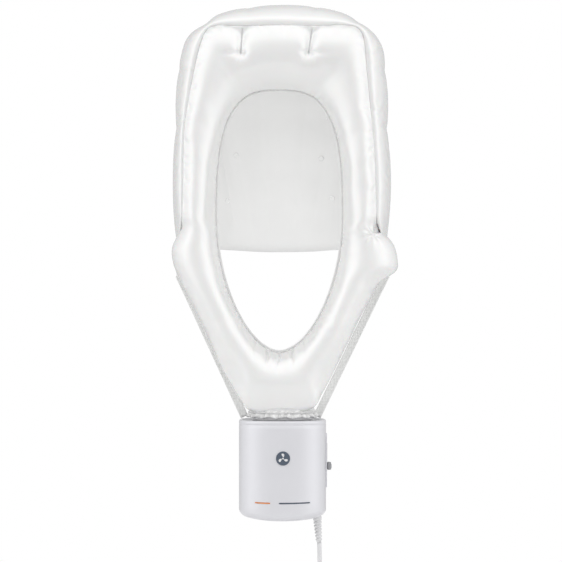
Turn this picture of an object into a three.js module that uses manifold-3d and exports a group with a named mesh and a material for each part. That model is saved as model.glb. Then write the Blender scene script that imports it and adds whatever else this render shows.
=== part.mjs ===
// Portable inflatable hood dryer: a double-walled soft hood over a small drum-shaped blower.
// Millimetres, +Z up, the face opening looks along -Y. The origin is the inner top of the crown,
// where the head carries the hood. The parts are drawn in a working frame whose z = 0 is the
// lowest point of the blower housing, with y = 0 at the housing's middle.
import * as THREE from 'three';
import { mergeVertices } from 'three/addons/utils/BufferGeometryUtils.js';
import Module from 'manifold-3d';

const wasm = await Module();
wasm.setup();

// Driving dimensions of the blower unit
const HOUSING_WIDTH = 100;
const HOUSING_DEPTH = 80;
const HOUSING_HEIGHT = 114;
const HOUSING_POWER = 2.6;
const WALL = 2;
const BOTTOM_RADIUS = 8;
const TOP_RADIUS = 2;
const BOTTOM_BOW_RADIUS = 252;
const BOW_FADE_HEIGHT = 30;
const GAP = 0.3;
const DUCT_RADIUS = 29;
const OUTLET = { rx: 33, ry: 25 };
const INLET = { rx: 31, ry: 26 };

// Driving dimensions of the hood
const RING_HALF_DEPTH = 30;
const OPENING = { halfWidth: 72.5, halfHeight: 149.6, centreX: -3.5, centreZ: 341.5 };
const OPENING_TOP_POWER = 3;
const OPENING_BOTTOM_POWER = 1.8;
const FILM = 1;
const HOOD_FRONT = RING_HALF_DEPTH + 0.6;
const HOOD_MIDDLE_Z = 440;
const HOOD_POWER = 3;
const OUTER_HOOD = { halfWidth: 122, depth: 165, rise: 148, drop: 400 };
const LINER_HOOD = { halfWidth: 100, depth: 145, rise: 125, drop: 400 };
const HEM_FRONT_Z = 290;
const HEM_SLOPE = 0.127;
const NECK = { rx: 38, ry: 29.5, bottom: 117.5, top: 146 };

// The seat where the head carries the hood, in the working frame
const HEAD_SEAT = new THREE.Vector3(0, 60, 560);

// Driving dimensions of the mains lead
const CORD_WIDTH = 5.2;
const CORD_THICKNESS = 3.2;
const COIL_CENTRE = new THREE.Vector3(39, 0, -150);
const COIL_RADIUS = 31;
const COIL_HALF_RADIAL = 5.6;
const COIL_HALF_AXIAL = 8.4;
const BOOT_PLACE = new THREE.Vector3(39.7, 0, 6);
const BOOT_LEAN = THREE.MathUtils.degToRad(4);
const PIN_SPACING = 18.6;
const PIN_RADIUS = 2;
const PIN_LENGTH = 19;
const PLUG_LENGTH = 36;
const PLUG_TOP = new THREE.Vector3(73.6, -11, -186);

const FULL_TURN = Math.PI * 2;
const group = new THREE.Group();
const model = new THREE.Group();
model.position.copy(HEAD_SEAT).negate();
group.add(model);

// ---------------------------------------------------------------- materials

function look(color, roughness, metalness = 0) {
  return { color, roughness, metalness };
}

const PEARL_FILM = look(0xeeeef0, 0.3);
const CLEAR_TAPE = look(0xd8dad8, 0.45);
const SILVER_WHITE = look(0xe9e9ee, 0.35, 0.1);
const DARK_PLASTIC = look(0x2c2d31, 0.5);
const WHITE_PLASTIC = look(0xe6e6e8, 0.45);
const INNER_PLASTIC = look(0xbfc2c6, 0.55);
const SLATE = look(0x4d5763, 0.4);
const STEEL = look(0xb4b8bd, 0.3, 1);
const BRASS = look(0xb99a55, 0.35, 1);
const COPPER = look(0xa9683c, 0.45, 1);
const MICA = look(0xb7a98c, 0.7);
const ELASTIC = look(0xdedede, 0.8);
const BOARD = look(0x2f6b45, 0.6);
const FOAM = look(0x4a4c50, 0.95);
const CORD_VINYL = look(0xf0f0f2, 0.45);

function place(name, geometry, surface, position = [0, 0, 0], rotation = [0, 0, 0]) {
  const mesh = new THREE.Mesh(geometry, new THREE.MeshStandardMaterial(surface));
  mesh.name = name;
  mesh.position.set(...position);
  mesh.rotation.set(...rotation);
  model.add(mesh);
}

// ---------------------------------------------------------------- geometry helpers

function signedVolume(positions, faces) {
  const a = new THREE.Vector3();
  const b = new THREE.Vector3();
  const c = new THREE.Vector3();
  let volume = 0;
  for (let i = 0; i < faces.length; i += 3) {
    a.fromArray(positions, faces[i] * 3);
    b.fromArray(positions, faces[i + 1] * 3);
    c.fromArray(positions, faces[i + 2] * 3);
    volume += a.dot(b.cross(c));
  }
  return volume;
}

// Rings of equal point counts, joined in order. A looped loft joins its last ring to its first,
// and any other loft has a flat fan at each end.
function loft(rings, looped = false) {
  const count = rings[0].length;
  const positions = rings.flat().flatMap((point) => point.toArray());
  const faces = [];
  const spans = looped ? rings.length : rings.length - 1;
  for (let i = 0; i < spans; i += 1) {
    const near = i * count;
    const far = ((i + 1) % rings.length) * count;
    for (let j = 0; j < count; j += 1) {
      const next = (j + 1) % count;
      faces.push(near + j, near + next, far + next, near + j, far + next, far + j);
    }
  }
  if (!looped) {
    [0, rings.length - 1].forEach((index) => {
      const middle = new THREE.Vector3();
      rings[index].forEach((point) => middle.add(point));
      const hub = positions.length / 3;
      positions.push(...middle.divideScalar(count).toArray());
      for (let j = 0; j < count; j += 1) {
        const first = index * count + j;
        const second = index * count + ((j + 1) % count);
        faces.push(...(index === 0 ? [hub, second, first] : [hub, first, second]));
      }
    });
  }
  if (signedVolume(positions, faces) < 0) {
    faces.reverse();
  }
  const geometry = new THREE.BufferGeometry();
  geometry.setAttribute('position', new THREE.Float32BufferAttribute(positions, 3));
  geometry.setIndex(faces);
  return geometry;
}

function toSolid(geometry) {
  const plain = geometry.clone();
  plain.deleteAttribute('normal');
  plain.deleteAttribute('uv');
  const merged = mergeVertices(plain, 1e-4);
  return new wasm.Manifold(new wasm.Mesh({
    numProp: 3,
    vertProperties: new Float32Array(merged.attributes.position.array),
    triVerts: new Uint32Array(merged.index.array),
  }));
}

function fromSolid(solid) {
  const mesh = solid.getMesh();
  const geometry = new THREE.BufferGeometry();
  geometry.setAttribute('position', new THREE.Float32BufferAttribute(mesh.vertProperties, 3));
  geometry.setIndex(new THREE.Uint32BufferAttribute(mesh.triVerts, 1));
  return geometry;
}

function cut(geometry, ...tools) {
  return fromSolid(tools.reduce((solid, tool) => solid.subtract(toSolid(tool)), toSolid(geometry)));
}

function join(...pieces) {
  const solids = pieces.map(toSolid);
  return fromSolid(solids.slice(1).reduce((solid, piece) => solid.add(piece), solids[0]));
}

function common(first, second) {
  return fromSolid(toSolid(first).intersect(toSolid(second)));
}

function box(low, high) {
  const size = high.map((value, axis) => value - low[axis]);
  const middle = high.map((value, axis) => (value + low[axis]) / 2);
  return new THREE.BoxGeometry(...size).translate(...middle);
}

// A cylinder along Z between two heights
function rod(radius, low, high, x = 0, y = 0, segments = 20) {
  const geometry = new THREE.CylinderGeometry(radius, radius, high - low, segments);
  return geometry.rotateX(Math.PI / 2).translate(x, y, (low + high) / 2);
}

// A cylinder along Y between two depths
function rodAlongY(radius, near, far, x, z, segments = 16) {
  const geometry = new THREE.CylinderGeometry(radius, radius, far - near, segments);
  return geometry.translate(x, (near + far) / 2, z);
}

// A lathe about Z from [radius, height] pairs
function turned(profile, segments = 20) {
  const points = profile.map(([radius, height]) => new THREE.Vector2(radius, height));
  const geometry = new THREE.LatheGeometry(points, segments).rotateX(Math.PI / 2);
  const merged = mergeVertices(positionOnly(geometry), 1e-4);
  const faces = Array.from(merged.index.array);
  if (signedVolume(merged.attributes.position.array, faces) < 0) {
    merged.setIndex(faces.reverse());
  }
  return merged;
}

function positionOnly(geometry) {
  geometry.deleteAttribute('normal');
  geometry.deleteAttribute('uv');
  return geometry;
}

function signedPower(value, power) {
  return Math.sign(value) * Math.abs(value) ** power;
}

// One ring of a rounded oval, level at height z
function ovalRing(rx, ry, z, power = 2, count = 36) {
  return Array.from({ length: count }, (_, index) => {
    const angle = (index / count) * FULL_TURN;
    const x = rx * signedPower(Math.cos(angle), 2 / power);
    const y = ry * signedPower(Math.sin(angle), 2 / power);
    return new THREE.Vector3(x, y, z);
  });
}

function ovalPrism(rx, ry, low, high, power = 2, count = 36) {
  return loft([ovalRing(rx, ry, low, power, count), ovalRing(rx, ry, high, power, count)]);
}

function ovalTube(rx, ry, wall, low, high, count = 36) {
  const outer = ovalPrism(rx, ry, low, high, 2, count);
  return cut(outer, ovalPrism(rx - wall, ry - wall, low - 1, high + 1, 2, count));
}

// A closed tube of round section along a closed list of centre points
function closedTube(centres, radius, sides = 6) {
  const middle = new THREE.Vector3();
  centres.forEach((centre) => middle.add(centre));
  middle.divideScalar(centres.length);
  const rings = centres.map((centre, index) => {
    const before = centres[(index + centres.length - 1) % centres.length];
    const after = centres[(index + 1) % centres.length];
    const along = after.clone().sub(before).normalize();
    const outward = centre.clone().sub(middle);
    outward.addScaledVector(along, -outward.dot(along)).normalize();
    const across = along.clone().cross(outward);
    return Array.from({ length: sides }, (_, side) => {
      const angle = (side / sides) * FULL_TURN;
      const point = centre.clone().addScaledVector(outward, radius * Math.cos(angle));
      return point.addScaledVector(across, radius * Math.sin(angle));
    });
  });
  return loft(rings, true);
}

// An oval section swept along an open curve
function sweptTube(curve, halfWidth, halfHeight, steps, sides = 8) {
  const section = new THREE.Shape();
  for (let side = 0; side < sides; side += 1) {
    const angle = (side / sides) * FULL_TURN;
    const point = [halfHeight * Math.cos(angle), halfWidth * Math.sin(angle)];
    if (side === 0) {
      section.moveTo(...point);
    } else {
      section.lineTo(...point);
    }
  }
  section.closePath();
  return new THREE.ExtrudeGeometry(section, { steps, extrudePath: curve, bevelEnabled: false });
}

// ---------------------------------------------------------------- hood

// Centreline points of the face opening, grown outward by a margin
function openingPoint(turn, margin = 0) {
  const sine = Math.sin(turn);
  const cosine = Math.cos(turn);
  const power = cosine > 0 ? OPENING_TOP_POWER : OPENING_BOTTOM_POWER;
  const x = (OPENING.halfWidth + margin) * signedPower(sine, 2 / power);
  const z = (OPENING.halfHeight + margin) * signedPower(cosine, 2 / power);
  return new THREE.Vector2(OPENING.centreX + x, OPENING.centreZ + z);
}

// Outer outline of the face ring, at even steps of its turn from the crown to the neck
const RING_OUTLINE = [
  [0, 567], [42, 567], [80, 563], [104, 533], [112, 485], [116, 432], [119, 375],
  [123, 318], [119, 276], [98, 240], [73, 188], [46, 141], [0, 124],
];

function ringOutline() {
  const right = RING_OUTLINE.map(([x, z]) => new THREE.Vector3(x, 0, z));
  const left = RING_OUTLINE.slice(1, -1).reverse().map(([x, z]) => new THREE.Vector3(-x, 0, z));
  return new THREE.CatmullRomCurve3([...right, ...left], true, 'catmullrom', 0.5);
}

function ringSolid(inset, stations, sides) {
  const outline = ringOutline();
  const rings = Array.from({ length: stations }, (_, station) => {
    const share = station / stations;
    const inner = openingPoint(share * FULL_TURN);
    const outer = outline.getPoint(share);
    const middle = new THREE.Vector2(inner.x + outer.x, inner.y + outer.z).divideScalar(2);
    const radial = new THREE.Vector2(outer.x - inner.x, outer.z - inner.y);
    const half = radial.length() / 2 - inset;
    radial.normalize();
    const neckShare = (1 - Math.cos(share * FULL_TURN)) / 2;
    const depth = RING_HALF_DEPTH + 4 * neckShare ** 6 - inset;
    return Array.from({ length: sides }, (_, side) => {
      const angle = (side / sides) * FULL_TURN;
      const out = half * signedPower(Math.cos(angle), 0.8);
      const back = depth * signedPower(Math.sin(angle), 0.8);
      return new THREE.Vector3(middle.x + radial.x * out, back, middle.y + radial.y * out);
    });
  });
  return loft(rings, true);
}

function faceRing() {
  const neckHole = ovalPrism(NECK.rx + GAP + 0.1, NECK.ry + GAP + 0.1, 100, NECK.top + 6);
  return cut(ringSolid(0, 36, 10), ringSolid(FILM, 36, 10), neckHole);
}

// A closed dome: its outline shrinks from the front to the back
function dome(size, inset, stations, count) {
  const rings = Array.from({ length: stations + 1 }, (_, station) => {
    const swing = (station / stations) * THREE.MathUtils.degToRad(88);
    const scale = Math.cos(swing) ** (2 / 2.6);
    const y = HOOD_FRONT + (size.depth - inset) * Math.sin(swing);
    const shoulder = 16 * Math.exp((HOOD_FRONT - y) / 14);
    return Array.from({ length: count }, (_, index) => {
      const angle = (index / count) * FULL_TURN;
      const rise = Math.sin(angle) > 0 ? size.rise - inset - shoulder : size.drop;
      const x = (size.halfWidth - inset) * scale * signedPower(Math.cos(angle), 2 / HOOD_POWER);
      const z = rise * scale * signedPower(Math.sin(angle), 2 / HOOD_POWER);
      return new THREE.Vector3(x, y, HOOD_MIDDLE_Z + z);
    });
  });
  return loft(rings);
}

// Everything below the sloping lower edge of the hood, raised by a margin
function belowHem(margin) {
  const reach = 400;
  const low = HEM_FRONT_Z + margin;
  const slab = box([-reach, -reach, -reach], [reach, reach, 0]);
  return slab.rotateX(Math.atan(HEM_SLOPE)).translate(0, HOOD_FRONT - 1, low);
}

function domeSkin(size, stations, count) {
  const outer = dome(size, 0, stations, count);
  const inner = dome(size, FILM, stations, count).translate(0, -FILM / 2, 0);
  return cut(outer, inner, belowHem(8));
}

// Air holes in rows over the back and sides of the liner
function airHoles() {
  const rows = [367, 417, 467, 512];
  const bearings = [-62, -24, 24, 62];
  return rows.flatMap((height) => bearings.map((bearing) => {
    const drill = new THREE.CylinderGeometry(2.6, 2.6, 200, 6);
    drill.translate(0, 120, 0);
    drill.rotateZ(THREE.MathUtils.degToRad(-bearing));
    return drill.translate(0, HOOD_FRONT, height);
  }));
}

function napeHem() {
  const steps = 13;
  const points = Array.from({ length: steps }, (_, index) => {
    const swing = THREE.MathUtils.degToRad(-90 + (180 * index) / (steps - 1));
    const x = 108 * signedPower(Math.sin(swing), 0.77);
    const y = HOOD_FRONT + 8 + 142 * Math.cos(swing);
    return new THREE.Vector3(x, y, HEM_FRONT_Z + 7 + HEM_SLOPE * (y - HOOD_FRONT));
  });
  return sweptTube(new THREE.CatmullRomCurve3(points), 5.5, 7, 22, 6);
}

function faceBinding() {
  const stations = 36;
  const centres = Array.from({ length: stations }, (_, station) => {
    const point = openingPoint((station / stations) * FULL_TURN, -1.9);
    return new THREE.Vector3(point.x, -8, point.y);
  });
  return closedTube(centres, 1.2, 5);
}

// A flat strap from its hook in the housing to the hood's lower rear corner
function strap(low, high, width, thickness) {
  const along = high.clone().sub(low).normalize();
  const across = new THREE.Vector3(0, 1, 0).cross(along).normalize();
  const normal = along.clone().cross(across);
  const corners = [[-1, -1], [1, -1], [1, 1], [-1, 1]];
  const ring = (centre) => corners.map(([a, b]) => centre.clone()
    .addScaledVector(across, (a * width) / 2)
    .addScaledVector(normal, (b * thickness) / 2));
  return loft([ring(low), ring(high)]);
}

// The tape patches reach up to the nape hem and stop just clear of it
const PATCH_HEIGHT = 18.8;
const PATCH_INSET = 3;

function buildHood() {
  place('hood_face_ring', faceRing(), PEARL_FILM);
  place('hood_outer_skin', domeSkin(OUTER_HOOD, 9, 28), PEARL_FILM);
  place('hood_liner', cut(domeSkin(LINER_HOOD, 8, 24), ...airHoles()), PEARL_FILM);
  place('nape_hem', napeHem(), PEARL_FILM);
  place('face_binding', faceBinding(), PEARL_FILM);
  place('neck_sleeve', ovalTube(NECK.rx, NECK.ry, FILM, NECK.bottom, NECK.top, 28), PEARL_FILM);
  const elasticPath = ovalRing(NECK.rx + 1.6, NECK.ry + 1.6, NECK.bottom + 6, 2, 28);
  place('neck_elastic', closedTube(elasticPath, 1.1, 4), ELASTIC);
  const collar = ovalTube(NECK.rx - FILM - GAP, NECK.ry - FILM - GAP, 3, 115, 127, 28);
  place('hood_collar_ring', collar, WHITE_PLASTIC);
  [['left', -1, 44], ['right', 1, 40]].forEach(([side, sign, foot]) => {
    const low = new THREE.Vector3(sign * foot, 12, HOUSING_HEIGHT + 2.4);
    const high = new THREE.Vector3(sign * 117, 38, 272);
    place(`support_tape_${side}`, strap(low, high, 9, 0.8), CLEAR_TAPE);
    const hook = box([-2.6, -1.1, -7], [2.6, 1.1, 0]);
    place(`tape_hook_${side}`, hook, WHITE_PLASTIC, [low.x, low.y, low.z - 2.4]);
    const patch = box([-8, -1, 0], [8, 1, PATCH_HEIGHT]);
    place(`tape_patch_${side}`, patch, PEARL_FILM, [high.x - sign * PATCH_INSET, high.y, high.z + 2.2]);
  });
}

// ---------------------------------------------------------------- blower housing

// The housing's outer form, grown outward by an offset, with its bowed underside
function drum(offset) {
  const levels = [];
  const low = BOTTOM_RADIUS + offset;
  for (let step = 0; step <= 3; step += 1) {
    const angle = (step / 3) * (Math.PI / 2);
    levels.push([BOTTOM_RADIUS - low * Math.sin(angle), BOTTOM_RADIUS - low * Math.cos(angle)]);
  }
  const high = TOP_RADIUS + Math.max(offset, 1 - TOP_RADIUS);
  const topZ = HOUSING_HEIGHT + offset;
  for (let step = 0; step <= 1; step += 1) {
    const angle = step * (Math.PI / 2);
    levels.push([high * (1 - Math.cos(angle)) - offset, topZ - high * (1 - Math.sin(angle))]);
  }
  const rings = levels.map(([inset, z]) => {
    const ring = ovalRing(HOUSING_WIDTH / 2 - inset, HOUSING_DEPTH / 2 - inset, z, HOUSING_POWER, 36);
    ring.forEach((point) => {
      const fade = Math.max(0, 1 - z / BOW_FADE_HEIGHT);
      point.z += (fade * point.x ** 2) / (2 * BOTTOM_BOW_RADIUS);
    });
    return ring;
  });
  return loft(rings);
}

const SCREW_PLACES = [[-39, 30], [39, 30], [-39, 102], [39, 102]];
const SCREW_HEAD_Y = 22;

function housingHalf(side) {
  const inside = drum(-WALL);
  let half = cut(drum(0), inside);
  SCREW_PLACES.forEach(([x, z]) => {
    half = join(half, common(rodAlongY(4.6, -40, 40, x, z, 8), drum(-WALL / 2)));
  });
  const tools = [
    ovalPrism(OUTLET.rx + 0.4, OUTLET.ry + 0.4, HOUSING_HEIGHT - 8, HOUSING_HEIGHT + 4, 2, 28),
    ovalPrism(INLET.rx, INLET.ry, -4, 7, 2, 28),
    rod(4, -4, 12, BOOT_PLACE.x, 0, 12),
    box([44, -3.6, 54], [54, 3.6, 78]),
    box([-48, 10, 108], [-40, 14, 118]),
    box([36, 10, 108], [44, 14, 118]),
    side < 0 ? box([-60, -0.15, -9], [60, 60, 130]) : box([-60, -60, -9], [60, 0.15, 130]),
  ];
  SCREW_PLACES.forEach(([x, z]) => {
    tools.push(rodAlongY(1.9, -16, 60, x, z, 8));
    tools.push(rodAlongY(3.5, SCREW_HEAD_Y - 0.3, 60, x, z, 8));
  });
  return cut(half, ...tools);
}

// A thin plate that follows the housing's surface inside a box
function surfacePlate(low, high, rise) {
  return common(cut(drum(rise), drum(GAP)), box(low, high));
}

function caseScrew() {
  const profile = [[0, -36], [1.5, -35], [1.5, 0], [3, 0], [3, 1.8], [2.2, 2.6], [0, 2.6]];
  return turned(profile, 8).rotateX(-Math.PI / 2);
}

function buildHousing() {
  place('housing_front', housingHalf(-1), SILVER_WHITE);
  place('housing_rear', housingHalf(1), SILVER_WHITE);
  SCREW_PLACES.forEach(([x, z], index) => {
    place(`case_screw_${index + 1}`, caseScrew(), STEEL, [x, SCREW_HEAD_Y, z]);
  });
  const badge = rodAlongY(8, -HOUSING_DEPTH / 2 - 1.2, -HOUSING_DEPTH / 2 - 0.35, 0.6, 72, 20);
  place('badge', badge, SLATE);
  place('accent_line', surfacePlate([-28, -45, 20], [28, -20, 22], 0.8), SLATE);
  const plate = surfacePlate([40, -8, 36], [60, 8, 98], 1.4);
  place('switch_plate', cut(plate, box([40, -3.4, 54.5], [60, 3.4, 87])), SILVER_WHITE);
  const stem = box([45.4, -2.4, 57], [51.9, 2.4, 64]);
  const head = box([51.8, -5, 55.8], [56, 5, 65.2]);
  place('switch_knob', join(stem, head), DARK_PLASTIC);
  place('switch_body', box([32.5, -6, 46], [45, 6, 92]), DARK_PLASTIC);
}

// ---------------------------------------------------------------- air path

function slottedOval(rx, ry, low, high, pitch, slot) {
  const rim = 3;
  const slots = [];
  for (let x = -rx + rim + pitch / 2; x < rx - rim - slot / 2; x += pitch) {
    const reach = (ry - rim) * Math.sqrt(Math.max(0, 1 - (Math.abs(x) / (rx - rim)) ** 2));
    if (reach > 4) {
      slots.push(box([x - slot / 2, -reach, low - 1], [x + slot / 2, -0.8, high + 1]));
      slots.push(box([x - slot / 2, 0.8, low - 1], [x + slot / 2, reach, high + 1]));
    }
  }
  return cut(ovalPrism(rx, ry, low, high, 2, 28), ...slots);
}

function impeller() {
  const blades = Array.from({ length: 7 }, (_, index) => {
    const blade = new THREE.BoxGeometry(15, 1.2, 13);
    blade.rotateX(THREE.MathUtils.degToRad(38)).translate(19, 0, 21);
    return blade.rotateZ((index / 7) * FULL_TURN);
  });
  const hubProfile = [
    [1.3, 15], [9, 15], [12.5, 18], [12.5, 27], [11, 27], [11, 19.5], [4, 19.5], [4, 26], [1.3, 26], [1.3, 15],
  ];
  const tips = cut(rod(40, 0, 40), rod(26.6, -1, 41, 0, 0, 20));
  return cut(join(turned(hubProfile, 16), cut(join(...blades), rod(11.6, 0, 40))), tips);
}

function stator() {
  const vanes = Array.from({ length: 5 }, (_, index) => {
    const vane = box([13.2, -0.7, 34], [27.1, 0.7, 58]);
    return vane.rotateZ(((index + 0.5) / 5) * FULL_TURN);
  });
  const cup = [[12.3, 31], [13.6, 31], [13.6, 61], [12, 63.5], [0, 63.5], [0, 61.8], [12.3, 61.8], [12.3, 31]];
  return join(turned(cup, 20), ...vanes);
}

function fanDuct() {
  const flange = ovalPrism(INLET.rx + 2, DUCT_RADIUS + 1, 8, 10, 2, 28);
  const tube = rod(DUCT_RADIUS, 8.5, 64.5, 0, 0, 28);
  return cut(join(flange, tube), rod(DUCT_RADIUS - 1.6, 0, 70, 0, 0, 28));
}

function magnet(sign) {
  const shape = new THREE.Shape();
  const half = THREE.MathUtils.degToRad(62);
  shape.absarc(0, 0, 10.8, -half, half, false);
  shape.absarc(0, 0, 9.1, half, -half, true);
  shape.closePath();
  const geometry = new THREE.ExtrudeGeometry(shape, { depth: 16, bevelEnabled: false, curveSegments: 6 });
  return geometry.rotateZ(sign > 0 ? 0 : Math.PI).translate(0, 0, 37);
}

function buildAirPath() {
  place('inlet_grille', slottedOval(INLET.rx - 0.4, INLET.ry - 0.4, 0.9, 3.1, 8, 4.5), INNER_PLASTIC);
  place('inlet_filter', ovalPrism(INLET.rx - 2, INLET.ry - 2, 3.5, 6.5, 2, 24), FOAM);
  place('fan_duct', fanDuct(), INNER_PLASTIC);
  place('stator_hub', stator(), INNER_PLASTIC);
  place('impeller', impeller(), DARK_PLASTIC);
  const can = [[1.5, 32], [12, 32], [12, 58], [11.2, 58], [11.2, 33], [1.5, 33], [1.5, 32]];
  place('motor_can', turned(can), STEEL);
  place('motor_end_cap', turned([[1.5, 58.3], [12, 58.3], [12, 60], [1.5, 60], [1.5, 58.3]]), DARK_PLASTIC);
  [['a', 1], ['b', -1]].forEach(([letter, sign]) => place(`magnet_${letter}`, magnet(sign), SLATE));
  const core = [[1.3, 36], [8.4, 36], [8.4, 53], [4, 53], [4, 57], [1.3, 57], [1.3, 36]];
  place('armature', turned(core, 16), COPPER);
  place('motor_shaft', rod(1, 16, 61, 0, 0, 10), STEEL);
  const spigot = join(
    ovalPrism(OUTLET.rx, OUTLET.ry, 104, 126, 2, 28),
    ovalPrism(OUTLET.rx + 3, OUTLET.ry + 3, 108.5, HOUSING_HEIGHT - WALL - GAP, 2, 28),
  );
  const bore = ovalPrism(OUTLET.rx - 2, OUTLET.ry - 2, 100, 130, 2, 28);
  place('outlet_spigot', cut(spigot, bore), INNER_PLASTIC);
  const grille = slottedOval(OUTLET.rx - 2.4, OUTLET.ry - 2.4, 112, 114, 7.6, 4.6);
  place('outlet_grille', grille, DARK_PLASTIC);
}

// ---------------------------------------------------------------- heater

const HEATER_LOW = 65;
const HEATER_HIGH = 103;

function micaCard(upperSlot) {
  const middle = (HEATER_LOW + HEATER_HIGH) / 2;
  const slot = upperSlot
    ? box([-0.75, -2, middle - 0.2], [0.75, 2, HEATER_HIGH + 1])
    : box([-0.75, -2, HEATER_LOW - 1], [0.75, 2, middle + 0.2]);
  const card = box([-23.6, -0.4, HEATER_LOW + 1], [23.6, 0.4, HEATER_HIGH - 1]);
  return cut(card, slot);
}

function heaterCoil() {
  const turns = 5;
  const perTurn = 12;
  const points = Array.from({ length: turns * perTurn + 1 }, (_, index) => {
    const angle = (index / perTurn) * FULL_TURN;
    const z = HEATER_LOW + 6 + (index / (turns * perTurn)) * 26;
    return new THREE.Vector3(25.2 * Math.cos(angle), 25.2 * Math.sin(angle), z);
  });
  return sweptTube(new THREE.CatmullRomCurve3(points), 0.5, 0.5, turns * perTurn, 4);
}

function buildHeater() {
  const outer = rod(27.9, HEATER_LOW, HEATER_HIGH, 0, 0, 28);
  place('heater_tube', cut(outer, rod(27, HEATER_LOW - 1, HEATER_HIGH + 1, 0, 0, 28)), MICA);
  place('mica_card_a', micaCard(true), MICA);
  place('mica_card_b', micaCard(false), MICA, [0, 0, 0], [0, 0, Math.PI / 2]);
  place('heater_coil', heaterCoil(), STEEL);
  place('thermostat', box([6, -4, 76], [15, -0.8, 84]), BRASS);
  place('thermal_fuse', rod(1.6, 74, 88, -9, -2.4, 12), BRASS);
}

// ---------------------------------------------------------------- electrics

function lead(points, steps) {
  const curve = new THREE.CatmullRomCurve3(points.map((point) => new THREE.Vector3(...point)));
  return sweptTube(curve, 0.8, 0.8, steps, 6);
}

function buildElectrics() {
  place('control_board', box([-41, -15, 37], [-39.4, 15, 68]), BOARD);
  place('ion_module', box([-45, -9, 72], [-34, 9, 90]), WHITE_PLASTIC);
  place('ion_needle', turned([[0, 90.3], [1, 90.3], [0.25, 96.5], [0, 96.5]], 8), STEEL, [-36, 0, 0]);
  const clampPlate = box([30, 4.1, 11], [47, 6.6, 17]);
  const clampPlaces = [32.6, 44.8];
  const clampHoles = clampPlaces.map((x) => rodAlongY(1.6, 0, 10, x, 14, 10));
  place('cord_clamp', cut(clampPlate, ...clampHoles), WHITE_PLASTIC);
  clampPlaces.forEach((x, index) => {
    const profile = [[0, -9], [1.2, -8.4], [1.2, 0], [2.3, 0], [2.3, 1.4], [0, 1.4]];
    const screw = turned(profile, 8).rotateX(-Math.PI / 2);
    place(`clamp_screw_${index + 1}`, screw, STEEL, [x, 6.9, 14]);
  });
  place('lead_to_switch', lead([[38.2, -1, 22.5], [32.9, -1, 29], [33.4, -1, 38], [36, -1, 45.7]], 8), SLATE);
  const boardRun = [[38.2, 1.6, 23.2], [31, 17, 28], [0, 33, 30], [-32, 18, 34], [-38.2, 10, 42]];
  place('lead_to_board', lead(boardRun, 16), SLATE);
}

// ---------------------------------------------------------------- mains lead

// Tapered, ribbed strain relief with its neck and flange inside the housing
function strainRelief() {
  const profile = [[0, 16], [3.5, 16], [3.5, 3.2], [5.6, 3.2], [5.6, 1.6], [3.6, 1.6], [3.6, -3.6], [5, -3.6], [4.8, -8]];
  for (let rib = 0; rib < 4; rib += 1) {
    const top = -9 - rib * 6;
    profile.push([3.7, top], [3.6, top - 2], [4.7 - rib * 0.1, top - 3], [4.6 - rib * 0.1, top - 5]);
  }
  profile.push([2.9, -33], [0, -33]);
  return turned(profile, 12);
}

// The hanging lead: hand-picked points down from the strain relief and round into the coil
const HANGING_ROUTE = [
  [42.4, 0, -27.3], [42.7, 0, -38], [42.9, 0, -52], [42.7, 0, -68], [42.4, 0, -84], [43.4, 0, -98],
  [47.2, 0, -109], [53.4, 0, -118], [59.6, 0, -123.5],
];

// The end of the lead: out of the coil at its side and down to the plug
const PLUG_ROUTE = [
  [70.4, -11, -150], [71.4, -11, -160], [72.6, -11, -172], [73.6, -11, -185.7],
];

function flatLead(route, steps) {
  const points = route.map((point) => new THREE.Vector3(...point));
  return sweptTube(new THREE.CatmullRomCurve3(points), CORD_WIDTH / 2, CORD_THICKNESS / 2, steps, 8);
}

function coilRing(margin) {
  const radial = COIL_HALF_RADIAL + margin;
  const axial = COIL_HALF_AXIAL + margin;
  const corner = 2.4;
  const profile = [
    [COIL_RADIUS - radial, -axial + corner], [COIL_RADIUS - radial + corner, -axial],
    [COIL_RADIUS + radial - corner, -axial], [COIL_RADIUS + radial, -axial + corner],
    [COIL_RADIUS + radial, axial - corner], [COIL_RADIUS + radial - corner, axial],
    [COIL_RADIUS - radial + corner, axial], [COIL_RADIUS - radial, axial - corner],
    [COIL_RADIUS - radial, -axial + corner],
  ];
  return turned(profile, 26).rotateX(Math.PI / 2).translate(...COIL_CENTRE.toArray());
}

function cordTie() {
  const outer = box([-3, -COIL_HALF_AXIAL - 1.9, -7.5], [3, COIL_HALF_AXIAL + 1.9, 7.5]);
  const inner = box([-4, -COIL_HALF_AXIAL - 0.5, -6.1], [4, COIL_HALF_AXIAL + 0.5, 6.1]);
  return cut(outer, inner);
}

function plugBody() {
  const levels = [
    [3, 3, 0], [3.8, 3.6, -9], [8.5, 5.2, -13], [14, 6.6, -19], [17.2, 6.85, -24], [17.65, 6.85, -PLUG_LENGTH],
  ];
  return loft(levels.map(([rx, ry, z]) => ovalRing(rx, ry, z, 3.2, 20)));
}

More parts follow.
